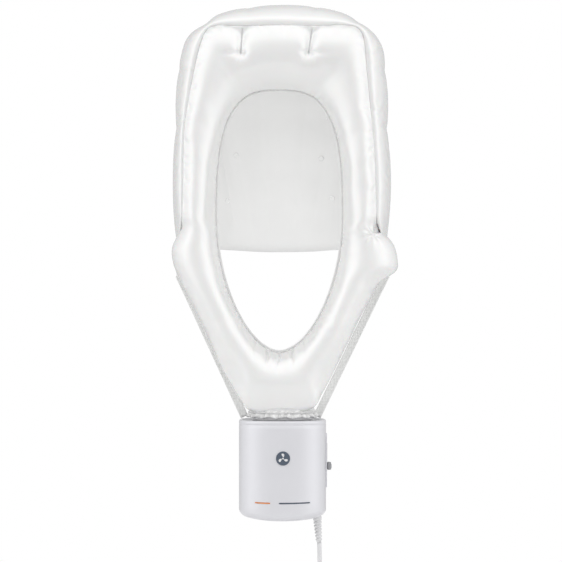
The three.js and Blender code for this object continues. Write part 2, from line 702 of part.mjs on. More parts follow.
function buildMainsLead() {
  place('strain_relief', strainRelief(), WHITE_PLASTIC, BOOT_PLACE.toArray(), [0, -BOOT_LEAN, 0]);
  place('mains_cord', cut(flatLead(HANGING_ROUTE, 14), coilRing(GAP)), CORD_VINYL);
  place('cord_coil', coilRing(0), CORD_VINYL);
  place('cord_tail', cut(flatLead(PLUG_ROUTE, 4), coilRing(GAP)), CORD_VINYL);
  place('cord_tie', cordTie(), DARK_PLASTIC, [COIL_CENTRE.x, 0, COIL_CENTRE.z + COIL_RADIUS]);
  place('plug_body', plugBody(), CORD_VINYL, PLUG_TOP.toArray());
  [['a', -1], ['b', 1]].forEach(([letter, sign]) => {
    const profile = [[0, 0], [PIN_RADIUS, 0], [PIN_RADIUS, 1.4 - PIN_LENGTH], [1.1, -PIN_LENGTH], [0, -PIN_LENGTH]];
    const foot = [PLUG_TOP.x + (sign * PIN_SPACING) / 2, PLUG_TOP.y, PLUG_TOP.z - PLUG_LENGTH - GAP];
    place(`plug_pin_${letter}`, turned(profile, 12), STEEL, foot);
  });
}

buildHood();
buildHousing();
buildAirPath();
buildHeater();
buildElectrics();
buildMainsLead();

export default group;
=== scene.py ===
"""Hood hair dryer: inflatable film hood, support tapes, drum blower and mains lead.

Shapes are in millimetres in the working frame of the part, with z = 0 at the foot of the blower's drum and
y = 0 through its middle, -Y in front. row() turns them into metres in the row frame. Blender's own settings,
such as those of the cloth and of the light, are in metres.
"""

import math

import bmesh
import bpy
import numpy as np
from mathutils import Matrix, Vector, noise


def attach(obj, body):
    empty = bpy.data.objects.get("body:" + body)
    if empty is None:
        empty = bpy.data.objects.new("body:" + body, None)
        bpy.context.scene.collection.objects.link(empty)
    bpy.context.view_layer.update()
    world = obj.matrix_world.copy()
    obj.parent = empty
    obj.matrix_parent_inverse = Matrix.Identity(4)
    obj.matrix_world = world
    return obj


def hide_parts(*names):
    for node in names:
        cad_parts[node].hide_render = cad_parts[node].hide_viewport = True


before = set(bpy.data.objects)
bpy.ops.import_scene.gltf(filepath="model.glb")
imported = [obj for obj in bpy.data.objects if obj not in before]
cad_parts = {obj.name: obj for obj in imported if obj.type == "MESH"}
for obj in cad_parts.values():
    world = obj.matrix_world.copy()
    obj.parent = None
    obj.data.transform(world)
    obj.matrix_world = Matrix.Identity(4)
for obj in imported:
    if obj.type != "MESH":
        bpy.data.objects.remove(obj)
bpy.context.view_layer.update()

HEAD_SEAT = np.array([0.0, 60.0, 560.0])
TURN = 2 * math.pi
# Stands for a distance too great to be chosen
FAR = 1e3


def row(points):
    """Working-frame millimetres to row-frame metres."""
    return (np.asarray(points, float) - HEAD_SEAT) / 1000


# ---------------------------------------------------------------- camera

CAMERA_DISTANCE = 2600.0
CAMERA_X, CAMERA_Z = -1.7, 273.0
SENSOR_WIDTH = 36.0
PICTURE_WIDTH = 646.3

camera_data = bpy.data.cameras.new("camera")
camera_data.sensor_width = SENSOR_WIDTH
camera_data.lens = SENSOR_WIDTH * CAMERA_DISTANCE / PICTURE_WIDTH
camera_data.clip_start, camera_data.clip_end = 0.1, 20
camera = bpy.data.objects.new("camera", camera_data)
bpy.context.scene.collection.objects.link(camera)
camera.location = row([CAMERA_X, -CAMERA_DISTANCE, CAMERA_Z])
camera.rotation_euler = (math.pi / 2, 0, 0)
bpy.context.scene.camera = camera
bpy.context.scene.view_settings.view_transform = "Standard"


def at_depth(x, z, y):
    """The place at depth y that the camera sees where it sees (x, 0, z)."""
    scale = (CAMERA_DISTANCE + y) / CAMERA_DISTANCE
    return CAMERA_X + (x - CAMERA_X) * scale, CAMERA_Z + (z - CAMERA_Z) * scale


# ---------------------------------------------------------------- materials


def add_node(tree, kind, values=None, sources=None):
    """A new node, with values on its sockets and the outputs that feed them."""
    node = tree.nodes.new(kind)
    for socket, value in (values or {}).items():
        node.inputs[socket].default_value = value
    for socket, source in (sources or {}).items():
        tree.links.new(source, node.inputs[socket])
    return node


def add_noise(tree, scale, detail):
    """A noise on the object's own coordinates."""
    place = tree.nodes["Texture Coordinate"].outputs["Object"]
    texture = add_node(tree, "ShaderNodeTexNoise", {"Scale": scale, "Detail": detail}, {"Vector": place})
    return texture.outputs["Fac"]


def add_math(tree, operation, first, second):
    joined = add_node(tree, "ShaderNodeMath", sources={0: first, 1: second})
    joined.operation = operation
    return joined.outputs[0]


def add_ramp(tree, value, *stops):
    """Colours the surface by a value, from stops of position and colour."""
    ramp = add_node(tree, "ShaderNodeValToRGB", sources={"Fac": value})
    for element, (position, color) in zip(ramp.color_ramp.elements, stops):
        element.position = position
        element.color = [*color, 1]
    tree.links.new(ramp.outputs["Color"], tree.nodes["Principled BSDF"].inputs["Base Color"])


def add_relief(tree, height, strength, distance):
    relief = add_node(tree, "ShaderNodeBump", {"Strength": strength, "Distance": distance},
                      {"Height": height})
    tree.links.new(relief.outputs["Normal"], tree.nodes["Principled BSDF"].inputs["Normal"])


def material(name, color, roughness, metallic=0.0, mottle=0.03, mottle_scale=30, bump=0.0, bump_scale=400,
             rough_spread=0.06, **sockets):
    """A Principled surface with procedural colour, roughness and relief variation."""
    made = bpy.data.materials.new(name)
    made.use_nodes = True
    tree = made.node_tree
    shader = tree.nodes["Principled BSDF"]
    shader.inputs["Metallic"].default_value = metallic
    for socket, value in sockets.items():
        shader.inputs[socket.replace("_", " ")].default_value = value
    add_node(tree, "ShaderNodeTexCoord")
    cloud = add_noise(tree, mottle_scale, 5)
    darker, lighter = [c * (1 - mottle) for c in color], [min(1, c * (1 + mottle)) for c in color]
    add_ramp(tree, cloud, (0.3, darker), (0.7, lighter))
    span = {"To Min": max(0.02, roughness - rough_spread), "To Max": min(1, roughness + rough_spread)}
    spread = add_node(tree, "ShaderNodeMapRange", span, {"Value": cloud})
    tree.links.new(spread.outputs["Result"], shader.inputs["Roughness"])
    if bump:
        add_relief(tree, add_noise(tree, bump_scale, 4), bump, 0.001)
    return made


def woven(name, light, dark, thread, roughness):
    """Crossed threads about one thread wide, from two wave patterns, with speckle."""
    made = material(name, light, roughness, mottle=0.12, mottle_scale=160)
    tree = made.node_tree
    place = tree.nodes["Texture Coordinate"].outputs["Object"]
    settings = {"Scale": 1000 / thread / TURN, "Distortion": 1.5, "Detail": 2}
    heights = []
    for axis in ("X", "Z"):
        wave = add_node(tree, "ShaderNodeTexWave", settings, {"Vector": place})
        wave.bands_direction = axis
        heights.append(wave.outputs["Fac"])
    weave = add_math(tree, "MULTIPLY", *heights)
    total = add_math(tree, "ADD", weave, add_noise(tree, 420, 3))
    add_ramp(tree, total, (0.42, dark), (0.95, light))
    add_relief(tree, total, 0.4, 0.0004)
    return made


FILM = material("pearl_film", (0.945, 0.945, 0.94), 0.25, metallic=0.36, mottle=0.018, mottle_scale=14,
                bump=0.10, bump_scale=70, rough_spread=0.05, Coat_Weight=0.5, Coat_Roughness=0.12,
                Subsurface_Weight=0.08, Subsurface_Scale=0.01)
# The liner is the same film made a darker grey: this is painted shade for the inside of the hood.
LINER_PAINTED_SHADE = material("liner_film_painted_shade", (0.86, 0.86, 0.855), 0.34, metallic=0.05, mottle=0.02, mottle_scale=18,
                 bump=0.12, bump_scale=60, Coat_Weight=0.3, Coat_Roughness=0.2)
EYELET = material("eyelet_film", (0.96, 0.96, 0.96), 0.2, metallic=0.1, mottle=0.02, Coat_Weight=0.6)
WELD = material("welded_film", (0.88, 0.88, 0.875), 0.3, metallic=0.2, mottle=0.05, mottle_scale=120,
                bump=0.3, bump_scale=500, Coat_Weight=0.4)
# The dart welds' dark grey is painted shade: it stands for the shade in the dart creases, not a colour of the
# film.
DART_WELD_PAINTED_SHADE = material("dart_weld", (0.64, 0.64, 0.64), 0.4, metallic=0.1, mottle=0.1, mottle_scale=120)
# Gathered film: its strong light and dark mottle paints the shade and highlights of fine crinkles, over a
# real bump.
CRINKLES_AND_PAINTED_SHADE = material("gathered_film_painted_shade", (0.90, 0.90, 0.89), 0.3, metallic=0.2, mottle=0.3, mottle_scale=230,
                    bump=0.8, bump_scale=260, Coat_Weight=0.4)
TAPE = woven("woven_tape", (0.96, 0.96, 0.955), (0.76, 0.765, 0.75), 0.9, 0.5)
SILVER = material("silver_white", (0.80, 0.80, 0.835), 0.30, metallic=0.35, mottle=0.012, mottle_scale=20,
                  bump=0.05, bump_scale=1600, Coat_Weight=0.35, Coat_Roughness=0.15)
DARK = material("dark_plastic", (0.035, 0.036, 0.04), 0.42, mottle=0.2, mottle_scale=60, bump=0.2,
                bump_scale=1500)
GREY = material("grey_plastic", (0.35, 0.355, 0.37), 0.45, mottle=0.06, bump=0.15, bump_scale=1500)
WHITE = material("white_plastic", (0.80, 0.80, 0.81), 0.4, mottle=0.02, bump=0.12, bump_scale=1300,
                 Coat_Weight=0.1)
INNER = material("inner_plastic", (0.52, 0.53, 0.55), 0.5, mottle=0.04, bump=0.15, bump_scale=1300)
SLATE = material("slate", (0.075, 0.10, 0.14), 0.35, mottle=0.08, bump=0.08, bump_scale=1500, Coat_Weight=0.3)
ORANGE = material("accent_orange", (0.80, 0.28, 0.08), 0.4, mottle=0.05)
STEEL = material("steel", (0.60, 0.61, 0.62), 0.28, metallic=1, mottle=0.06, mottle_scale=90, bump=0.1,
                 bump_scale=900)
BRASS = material("brass", (0.62, 0.46, 0.18), 0.3, metallic=1, mottle=0.08, mottle_scale=90)
COPPER = material("copper", (0.62, 0.30, 0.16), 0.38, metallic=1, mottle=0.12, mottle_scale=120, bump=0.1)
MICA = material("mica", (0.52, 0.45, 0.32), 0.6, mottle=0.18, mottle_scale=70, bump=0.3, bump_scale=300)
ELASTIC = woven("elastic", (0.90, 0.90, 0.90), (0.58, 0.58, 0.58), 0.7, 0.75)
BOARD = material("board", (0.05, 0.20, 0.09), 0.45, mottle=0.15, mottle_scale=120, bump=0.1)
FOAM = material("foam", (0.08, 0.085, 0.09), 0.95, mottle=0.4, mottle_scale=350, bump=0.9, bump_scale=450)
VINYL = material("cord_vinyl", (0.82, 0.82, 0.83), 0.42, mottle=0.02, mottle_scale=60, bump=0.15,
                 bump_scale=700, Coat_Weight=0.1)
STRAP = woven("tie_strap", (0.10, 0.10, 0.105), (0.02, 0.02, 0.022), 0.6, 0.85)

# ---------------------------------------------------------------- mesh helpers


def new_piece(name, verts, faces, surface, body, slot=None, smooth=True):
    """A mesh object from working-frame points, riding on a CAD body, with its faces turned outward."""
    mesh = bpy.data.meshes.new(name)
    mesh.from_pydata([tuple(p) for p in row(verts)], [], [tuple(f) for f in faces])
    work = bmesh.new()
    work.from_mesh(mesh)
    bmesh.ops.remove_doubles(work, verts=work.verts, dist=1e-6)
    bmesh.ops.recalc_face_normals(work, faces=work.faces)
    work.to_mesh(mesh)
    work.free()
    mesh.polygons.foreach_set("use_smooth", [smooth] * len(mesh.polygons))
    mesh.materials.append(surface)
    obj = bpy.data.objects.new(name, mesh)
    bpy.context.scene.collection.objects.link(obj)
    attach(obj, body)
    return obj


def lofted(rings, looped=False, capped=True):
    """Vertices and faces of closed rings joined one to the next, an array of ring x point x 3."""
    rings = np.asarray(rings, float)
    count, around = rings.shape[:2]
    faces = []
    for k in range(count if looped else count - 1):
        low, high = k * around, ((k + 1) % count) * around
        for i in range(around):
            j = (i + 1) % around
            faces.append((low + i, low + j, high + j, high + i))
    if capped and not looped:
        faces.append(tuple(range(around)))
        faces.append(tuple(range((count - 1) * around, count * around))[::-1])
    return rings.reshape(-1, 3), faces


def merged(*parts):
    """Several (vertices, faces) pairs as one."""
    verts, faces, base = [], [], 0
    for part_verts, part_faces in parts:
        verts.append(np.asarray(part_verts, float))
        faces += [tuple(i + base for i in face) for face in part_faces]
        base += len(part_verts)
    return np.vstack(verts), faces


def spline(knots, count, closed=False):
    """Catmull-Rom curve through the knots, at count points evenly spaced along it."""
    knots = np.asarray(knots, float)
    spans = len(knots) if closed else len(knots) - 1
    if closed:
        padded = np.vstack([knots[-1], knots, knots[0], knots[1]])
    else:
        padded = np.vstack([2 * knots[0] - knots[1], knots, 2 * knots[-1] - knots[-2]])
    t = np.linspace(0, 1, 24, endpoint=False)[:, None]
    pieces = []
    for k in range(spans):
        a, b, c, d = padded[k:k + 4]
        pieces.append(0.5 * (2 * b + (c - a) * t + (2 * a - 5 * b + 4 * c - d) * t ** 2
                             + (3 * b - a - 3 * c + d) * t ** 3))
    pieces.append(knots[:1] if closed else knots[-1:])
    line = np.vstack(pieces)
    return resampled(line, count, closed)


def lengths_along(line):
    """The length of a line from its start to each of its points."""
    return np.concatenate([[0], np.cumsum(np.linalg.norm(np.diff(line, axis=0), axis=1))])


def resampled(line, count, closed=False):
    along = lengths_along(line)
    wanted = np.linspace(0, along[-1], count, endpoint=not closed)
    return np.stack([np.interp(wanted, along, line[:, k]) for k in range(line.shape[1])], 1)


def smoothstep(value, low, high):
    t = np.clip((value - low) / (high - low), 0, 1)
    return t * t * (3 - 2 * t)


def round_angles(count):
    """Evenly spaced angles round one full turn."""
    return np.arange(count) / count * TURN


def stacked(x, y, z):
    """Points from their three coordinates, any of which may be a single number."""
    return np.stack(np.broadcast_arrays(x, y, z), -1)


def blunted(value, size, power):
    """A superellipse's coordinate from the sine or cosine of its angle."""
    return size * np.sign(value) * np.abs(value) ** (2 / power)


def superpoint(angle, rx, ry, power):
    """Points of a superellipse."""
    return blunted(np.cos(angle), rx, power), blunted(np.sin(angle), ry, power)


def swept(path, section, frames=None):
    """Rings of a 2D section carried along a path. Its first axis stays near the given side directions."""
    path = np.asarray(path, float)
    tangent = np.gradient(path, axis=0)
    tangent /= np.linalg.norm(tangent, axis=1)[:, None]
    side = np.tile([0.0, 1.0, 0.0], (len(path), 1)) if frames is None else np.asarray(frames, float)
    side = side - tangent * np.sum(side * tangent, 1)[:, None]
    side /= np.linalg.norm(side, axis=1)[:, None]
    up = np.cross(tangent, side)
    section = np.asarray(section, float)
    return path[:, None, :] + side[:, None, :] * section[None, :, :1] + up[:, None, :] * section[None, :, 1:]


def oval_section(half_width, half_height, count=16, power=2.0):
    angle = round_angles(count)
    x, y = superpoint(angle, half_width, half_height, power)
    return np.stack([x, y], 1)


def turned(profile, centre, axis_lean=0.0, count=40):
    """Vertices and faces of a turned piece. The profile is radius and height, and it leans about Y."""
    angle = round_angles(count)
    rings = []
    for radius, height in profile:
        x, y = radius * np.cos(angle), radius * np.sin(angle)
        lean_x = x * math.cos(axis_lean) + height * math.sin(axis_lean)
        lean_z = -x * math.sin(axis_lean) + height * math.cos(axis_lean)
        rings.append(stacked(lean_x, y, lean_z) + centre)
    return lofted(rings)


def set_points(obj, points):
    obj.data.vertices.foreach_set("co", np.asarray(points, np.float32).ravel())
    obj.data.update()


def read_vectors(obj, kind):
    vectors = np.zeros(len(obj.data.vertices) * 3)
    obj.data.vertices.foreach_get(kind, vectors)
    return vectors.reshape(-1, 3)


def get_points(obj):
    return read_vectors(obj, "co")


def get_normals(obj):
    return read_vectors(obj, "normal")


def working_points(obj):
    """A piece's vertices in working-frame millimetres."""
    return get_points(obj) * 1000 + HEAD_SEAT


def apply_modifiers(obj):
    graph = bpy.context.evaluated_depsgraph_get()
    done = bpy.data.meshes.new_from_object(obj.evaluated_get(graph))
    obj.modifiers.clear()
    obj.data = done
    obj.data.polygons.foreach_set("use_smooth", [True] * len(done.polygons))


def subdivide(obj, levels=1):
    modifier = obj.modifiers.new("finer", "SUBSURF")
    modifier.levels = modifier.render_levels = levels
    apply_modifiers(obj)


def evened(field, looped):
    """A field on a grid of points, each averaged with its neighbours. Its second axis always loops."""
    ends = "wrap" if looped else "edge"
    for _ in range(3):
        wide = np.pad(field, ((1, 1), (0, 0), (0, 0)), mode=ends)
        field = (wide[:-2] + 2 * field + wide[2:]) / 4
        field = (np.roll(field, 1, axis=1) + 2 * field + np.roll(field, -1, axis=1)) / 4
    return field


def inflate(obj, held, pressure, slack, cap, last_frame, loop_size, looped):
    """Blows a film piece up with the cloth solver, each vertex by cap metres at most.

    held is each vertex's pin weight and slack its spare film. Returns the solver's own largest move.
    """
    start = get_points(obj)
    group = obj.vertex_groups.new(name="welds")
    for index in np.nonzero(held > 0)[0]:
        group.add([int(index)], float(held[index]), "REPLACE")
    cloth = obj.modifiers.new("air", "CLOTH")
    settings = cloth.settings
    settings.quality = 6
    settings.mass = 0.2
    settings.tension_stiffness = settings.compression_stiffness = 30
    settings.shear_stiffness = 12
    settings.bending_stiffness = 0.25
    settings.use_pressure = True
    settings.uniform_pressure_force = pressure
    settings.shrink_min = -slack
    settings.vertex_group_mass = "welds"
    settings.pin_stiffness = 40
    settings.effector_weights.gravity = 0
    cloth.point_cache.frame_start = 1
    cloth.point_cache.frame_end = last_frame
    for step in range(1, last_frame + 1):
        bpy.context.scene.frame_set(step)
    graph = bpy.context.evaluated_depsgraph_get()
    result = obj.evaluated_get(graph).to_mesh()
    moved = np.zeros(len(start) * 3)
    result.vertices.foreach_get("co", moved)
    obj.evaluated_get(graph).to_mesh_clear()
    moved = moved.reshape(-1, 3)
    shift = np.nan_to_num(moved - start)
    length = np.linalg.norm(shift, axis=1)
    shift *= (np.minimum(1, cap / np.maximum(length, 1e-9)))[:, None]
    shift = evened(shift.reshape(-1, loop_size, 3), looped).reshape(-1, 3) * (held < 1)[:, None]
    obj.modifiers.remove(cloth)
    obj.vertex_groups.clear()
    bpy.context.scene.frame_set(1)
    set_points(obj, start + shift)
    return float(length.max())


# ---------------------------------------------------------------- mains lead

CORD_HALF_WIDTH, CORD_HALF_THICKNESS = 2.6, 1.6
HANGING_ROUTE = [(42.4, 0, -27.3), (42.7, 0, -38), (42.9, 0, -52), (42.7, 0, -68), (42.4, 0, -84),
                 (43.4, 0, -98), (47.2, 0, -109), (53.4, 0, -118), (59.6, 0, -123.5)]
PLUG_ROUTE = [(70.4, -11, -150), (71.4, -11, -160), (72.6, -11, -172), (73.6, -11, -185.7)]
COIL_CENTRE = np.array([39.0, 0.0, -150.0])
COIL_ENTRY_DEG = 52.0
# Each turn's place in the bundle: its radius and its depth, outermost first, always one step from the last
COIL_TURNS = [(34.6, 0), (34.8, 5.4), (31.4, 5.4), (28.0, 5.4), (28.0, 0), (31.4, 0), (31.4, -5.4),
              (34.8, -5.4), (34.8, -5.4)]


def lead_path():
    hanging = spline(HANGING_ROUTE, 34)
    per_turn = 44
    last = COIL_ENTRY_DEG / 360
    turns = np.arange(1, int((len(COIL_TURNS) - 1 + last) * per_turn)) / per_turn
    coil = []
    for turn in turns:
        index = min(int(turn), len(COIL_TURNS) - 2)
        step = smoothstep(turn - index, 0.8, 1.0)
        radius, depth = np.array(COIL_TURNS[index]) * (1 - step) + np.array(COIL_TURNS[index + 1]) * step
        past = turn - (len(COIL_TURNS) - 1)
        if past > 0:
            depth -= 5.6 * smoothstep(past, -0.02, last)
            radius -= 3.4 * smoothstep(past, -0.02, last)
        angle = math.radians(COIL_ENTRY_DEG) - turn * TURN
        coil.append(COIL_CENTRE + [radius * math.cos(angle), depth, radius * math.sin(angle)])
    plug = spline(PLUG_ROUTE, 14)
    return resampled(np.vstack([hanging, coil, plug]), 460)


path = lead_path()
turn_share = smoothstep(path[:, 2], -104, -62) * (np.arange(len(path)) < 60)
sides = np.stack([turn_share, 1 - turn_share, np.zeros(len(path))], 1)
lead_rings = swept(path, oval_section(CORD_HALF_WIDTH, CORD_HALF_THICKNESS, 18, 2.3), sides)
mains_lead = new_piece("mains_lead", *lofted(lead_rings), VINYL, "blower", "cord_vinyl")
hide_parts("mains_cord", "cord_coil", "cord_tail")

PLUG_TOP = np.array([73.6, -11.0, -186.0])
PLUG_LEVELS = [(2.7, 2.5, 0), (3.4, 3.3, -0.6), (3.7, 3.5, -3), (3.2, 3.1, -3.8), (3.2, 3.1, -4.8),
               (3.9, 3.6, -5.6), (4.0, 3.7, -8), (3.5, 3.4, -8.8), (4.6, 3.9, -10), (8.2, 5.1, -13),
               (12.6, 6.3, -17), (15.2, 6.6, -20), (16.6, 6.8, -23), (17.3, 6.85, -27), (17.5, 6.85, -29),
               (17.0, 6.4, -29.4), (17.0, 6.4, -30.2), (17.55, 6.85, -30.6), (17.65, 6.85, -35),
               (17.2, 6.4, -36)]


def plug_mesh():
    angle = round_angles(48)
    rings = []
    for rx, ry, z in PLUG_LEVELS:
        x, y = superpoint(angle, rx, ry, 3.0)
        rings.append(stacked(x, y, z) + PLUG_TOP)
    return lofted(rings)


plug = new_piece("plug", *plug_mesh(), VINYL, "blower", "cord_vinyl")
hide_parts("plug_body")


TIE_CENTRE = COIL_CENTRE + [0, 0, 31]
TIE_HALF_DEPTH, TIE_HALF_HEIGHT = 9.9, 7.0


def tie_mesh():
    """A hook-and-loop strap round the coil."""
    angle = round_angles(48)
    across, radial = superpoint(angle, TIE_HALF_DEPTH, TIE_HALF_HEIGHT, 3.4)
    rings = []
    for x, grow in ((-3, -0.5), (-2.8, 0.0), (2.8, 0.0), (3, -0.5), (2.8, -1.0), (-2.8, -1.0)):
        scale_a = (TIE_HALF_DEPTH + grow) / TIE_HALF_DEPTH
        scale_r = (TIE_HALF_HEIGHT + grow) / TIE_HALF_HEIGHT
        rings.append(stacked(x, across * scale_a, radial * scale_r) + TIE_CENTRE)
    return lofted(rings, looped=True)


tie = new_piece("coil_tie", *tie_mesh(), STRAP, "blower", "dark_plastic")
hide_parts("cord_tie")

BOOT_PLACE = (39.7, 0.0, 6.0)
BOOT_LEAN = math.radians(-4)


def boot_profile():
    profile = [(0, 15.8), (3.4, 15.8), (3.5, 3.4), (5.5, 3.2), (5.6, 1.6), (3.7, 1.4), (3.7, -3.4),
               (4.7, -3.7), (5.0, -4.6), (4.9, -7.6), (4.5, -8.3), (3.7, -8.6)]
    for rib in range(6):
        top = -9.4 - rib * 3.9
        out = 4.75 - rib * 0.22
        profile += [(out - 1.0, top), (out - 0.2, top - 0.3), (out, top - 0.9), (out - 0.05, top - 2.0),
                    (out - 0.35, top - 2.5), (out - 1.05, top - 2.7)]
    return profile + [(2.85, -32.4), (2.5, -33), (0, -33)]


boot = new_piece("cord_boot", *turned(boot_profile(), BOOT_PLACE, BOOT_LEAN), WHITE, "blower",
                 "white_plastic")
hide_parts("strain_relief")

# ---------------------------------------------------------------- hood: lines shared by its pieces

OPENING_X, OPENING_Z, OPENING_HALF_WIDTH, OPENING_HALF_HEIGHT = -3.5, 341.5, 72.5, 149.6


def opening(angle, margin=0.0):
    """The face opening's edge, from its top clockwise seen from the front."""
    sine, cosine = np.sin(angle), np.cos(angle)
    power = np.where(cosine > 0, 3.0, 1.8)
    x = blunted(sine, OPENING_HALF_WIDTH + margin, power)
    z = blunted(cosine, OPENING_HALF_HEIGHT + margin, power)
    return np.stack([OPENING_X + x, OPENING_Z + z], -1)


# The face chamber's outer edge, from the top clockwise: over the shoulder, down the side weld, round the
# lower corner and down the V to the neck
OUTLINE_RIGHT = [(0, 565), (35, 564), (64, 565), (82, 563.5), (90.5, 556), (94, 540), (95.5, 520),
                 (99, 485), (102.5, 450), (105, 410), (106.5, 370), (107.5, 342), (112, 330), (123, 322),
                 (130, 311), (132.8, 297), (133, 288), (128, 281.5), (118, 275.5), (110.5, 269),
                 (103.5, 255), (91.5, 234), (81, 212), (70.5, 191), (56.5, 163), (46, 143), (37.5, 128),
                 (20, 121)]
OUTLINE_LEFT = [(-22, 119.5), (-40, 125), (-47.5, 134), (-54.5, 145), (-68, 169), (-78.5, 190), (-91, 218),
                (-101.5, 239), (-114, 263), (-122, 281), (-127, 296), (-127.5, 311), (-122, 324),
                (-116.5, 334), (-114.5, 352), (-113.5, 385), (-112.5, 440), (-109, 470), (-104.5, 495),
                (-98, 527), (-92, 548), (-86, 560), (-74, 564.5), (-45, 564)]
LEFT_DART = np.array([(-45.5, 563), (-47.5, 531)], float)
RIGHT_DART = np.array([(34, 563), (29.5, 531)], float)
STATIONS = 360
OUTLINE_SAMPLES = 1600
# The match is averaged over this many samples either way
MATCH_REACH = 60


def face_lines():
    """Matching points of the opening's weld and the outer edge."""
    angle = round_angles(STATIONS)
    inner = opening(angle)
    outline = spline(OUTLINE_RIGHT + OUTLINE_LEFT, OUTLINE_SAMPLES, closed=True)
    sample = np.arange(OUTLINE_SAMPLES)
    gaps = np.linalg.norm(outline[:, None, :] - inner[None, :, :], axis=2)
    nearest = np.argmin(gaps, axis=1) / STATIONS
    nearest = np.where((nearest > 0.75) & (sample < OUTLINE_SAMPLES / 4), nearest - 1, nearest)
    nearest = np.where((nearest < 0.25) & (sample > OUTLINE_SAMPLES * 3 / 4), nearest + 1, nearest)
    mixed = 0.78 * nearest + 0.22 * sample / OUTLINE_SAMPLES
    window = np.hanning(2 * MATCH_REACH + 1)
    window /= window.sum()
    longer = np.concatenate([mixed[-MATCH_REACH:] - 1, mixed, mixed[:MATCH_REACH] + 1])
    mixed = np.maximum.accumulate(np.convolve(longer, window, "valid")) + sample * 1e-7
    wanted = np.arange(STATIONS) / STATIONS
    keys = np.concatenate([mixed - 1, mixed, mixed + 1])
    values = np.vstack([outline, outline, outline])
    outer = np.stack([np.interp(wanted, keys, values[:, k]) for k in range(2)], 1)
    return inner, outer


inner_line, outer_line = face_lines()
RIM_DEPTH = -8.0
PINCH = (103.0, 327.0)
SEAM_DEPTH = -26.0
upper_share = smoothstep(outer_line[:, 1], 318, 350)
neck_share = smoothstep(-outer_line[:, 1], -165, -128)
outer_depth = SEAM_DEPTH * upper_share


def distance_to_segment(x, z, segment):
    start, end = segment
    along = end - start
    share = np.clip(((x - start[0]) * along[0] + (z - start[1]) * along[1]) / (along @ along), 0, 1)
    return np.hypot(x - start[0] - share * along[0], z - start[1] - share * along[1]), share


def dart_valley(x, z):
    """How far the two short welds under the crown pull the front panel in."""
    depth = np.zeros(np.shape(x))
    for segment in (LEFT_DART, RIGHT_DART):
        gap, share = distance_to_segment(x, z, segment)
        depth += (10.5 - 2.5 * share) * np.exp(-(gap / 5.4) ** 1.2)
    return depth


# ---------------------------------------------------------------- hood: face chamber

ACROSS = 22


def face_chamber_mesh():
    share = (1 - np.cos(np.linspace(0, math.pi, ACROSS + 1))) / 2
    share = 0.5 * share + 0.5 * np.linspace(0, 1, ACROSS + 1)
    rings = []
    for k in range(STATIONS):
        inner, outer = inner_line[k], outer_line[k]
        neck, upper = neck_share[k], upper_share[k]
        blunt = np.where(share > 0.5, 0.6 - 0.46 * neck + 0.8 * upper, 0.85)
        crown = (1 - np.abs(2 * share - 1) ** 2.3) ** blunt
        base = RIM_DEPTH + (outer_depth[k] - RIM_DEPTH) * share
        x = inner[0] + (outer[0] - inner[0]) * share
        z = inner[1] + (outer[1] - inner[1]) * share
        front = base - (17.5 + 10.5 * (1 - upper)) * crown
        front = np.minimum(front + dart_valley(x, z), base)
        back = base + (32 + 2 * upper) * crown
        ring = np.vstack([stacked(x, front, z), stacked(x, back, z)[-2:0:-1]])
        rings.append(ring)
    return lofted(rings, looped=True)


def fold_noise(points, scale, seed):
    """Smooth noise in -1..1 at each point, the same each run."""
    offset = Vector((seed * 7.3, seed * 3.1, seed * 5.7))
    return np.array([noise.noise(Vector(p) * scale + offset) for p in points])


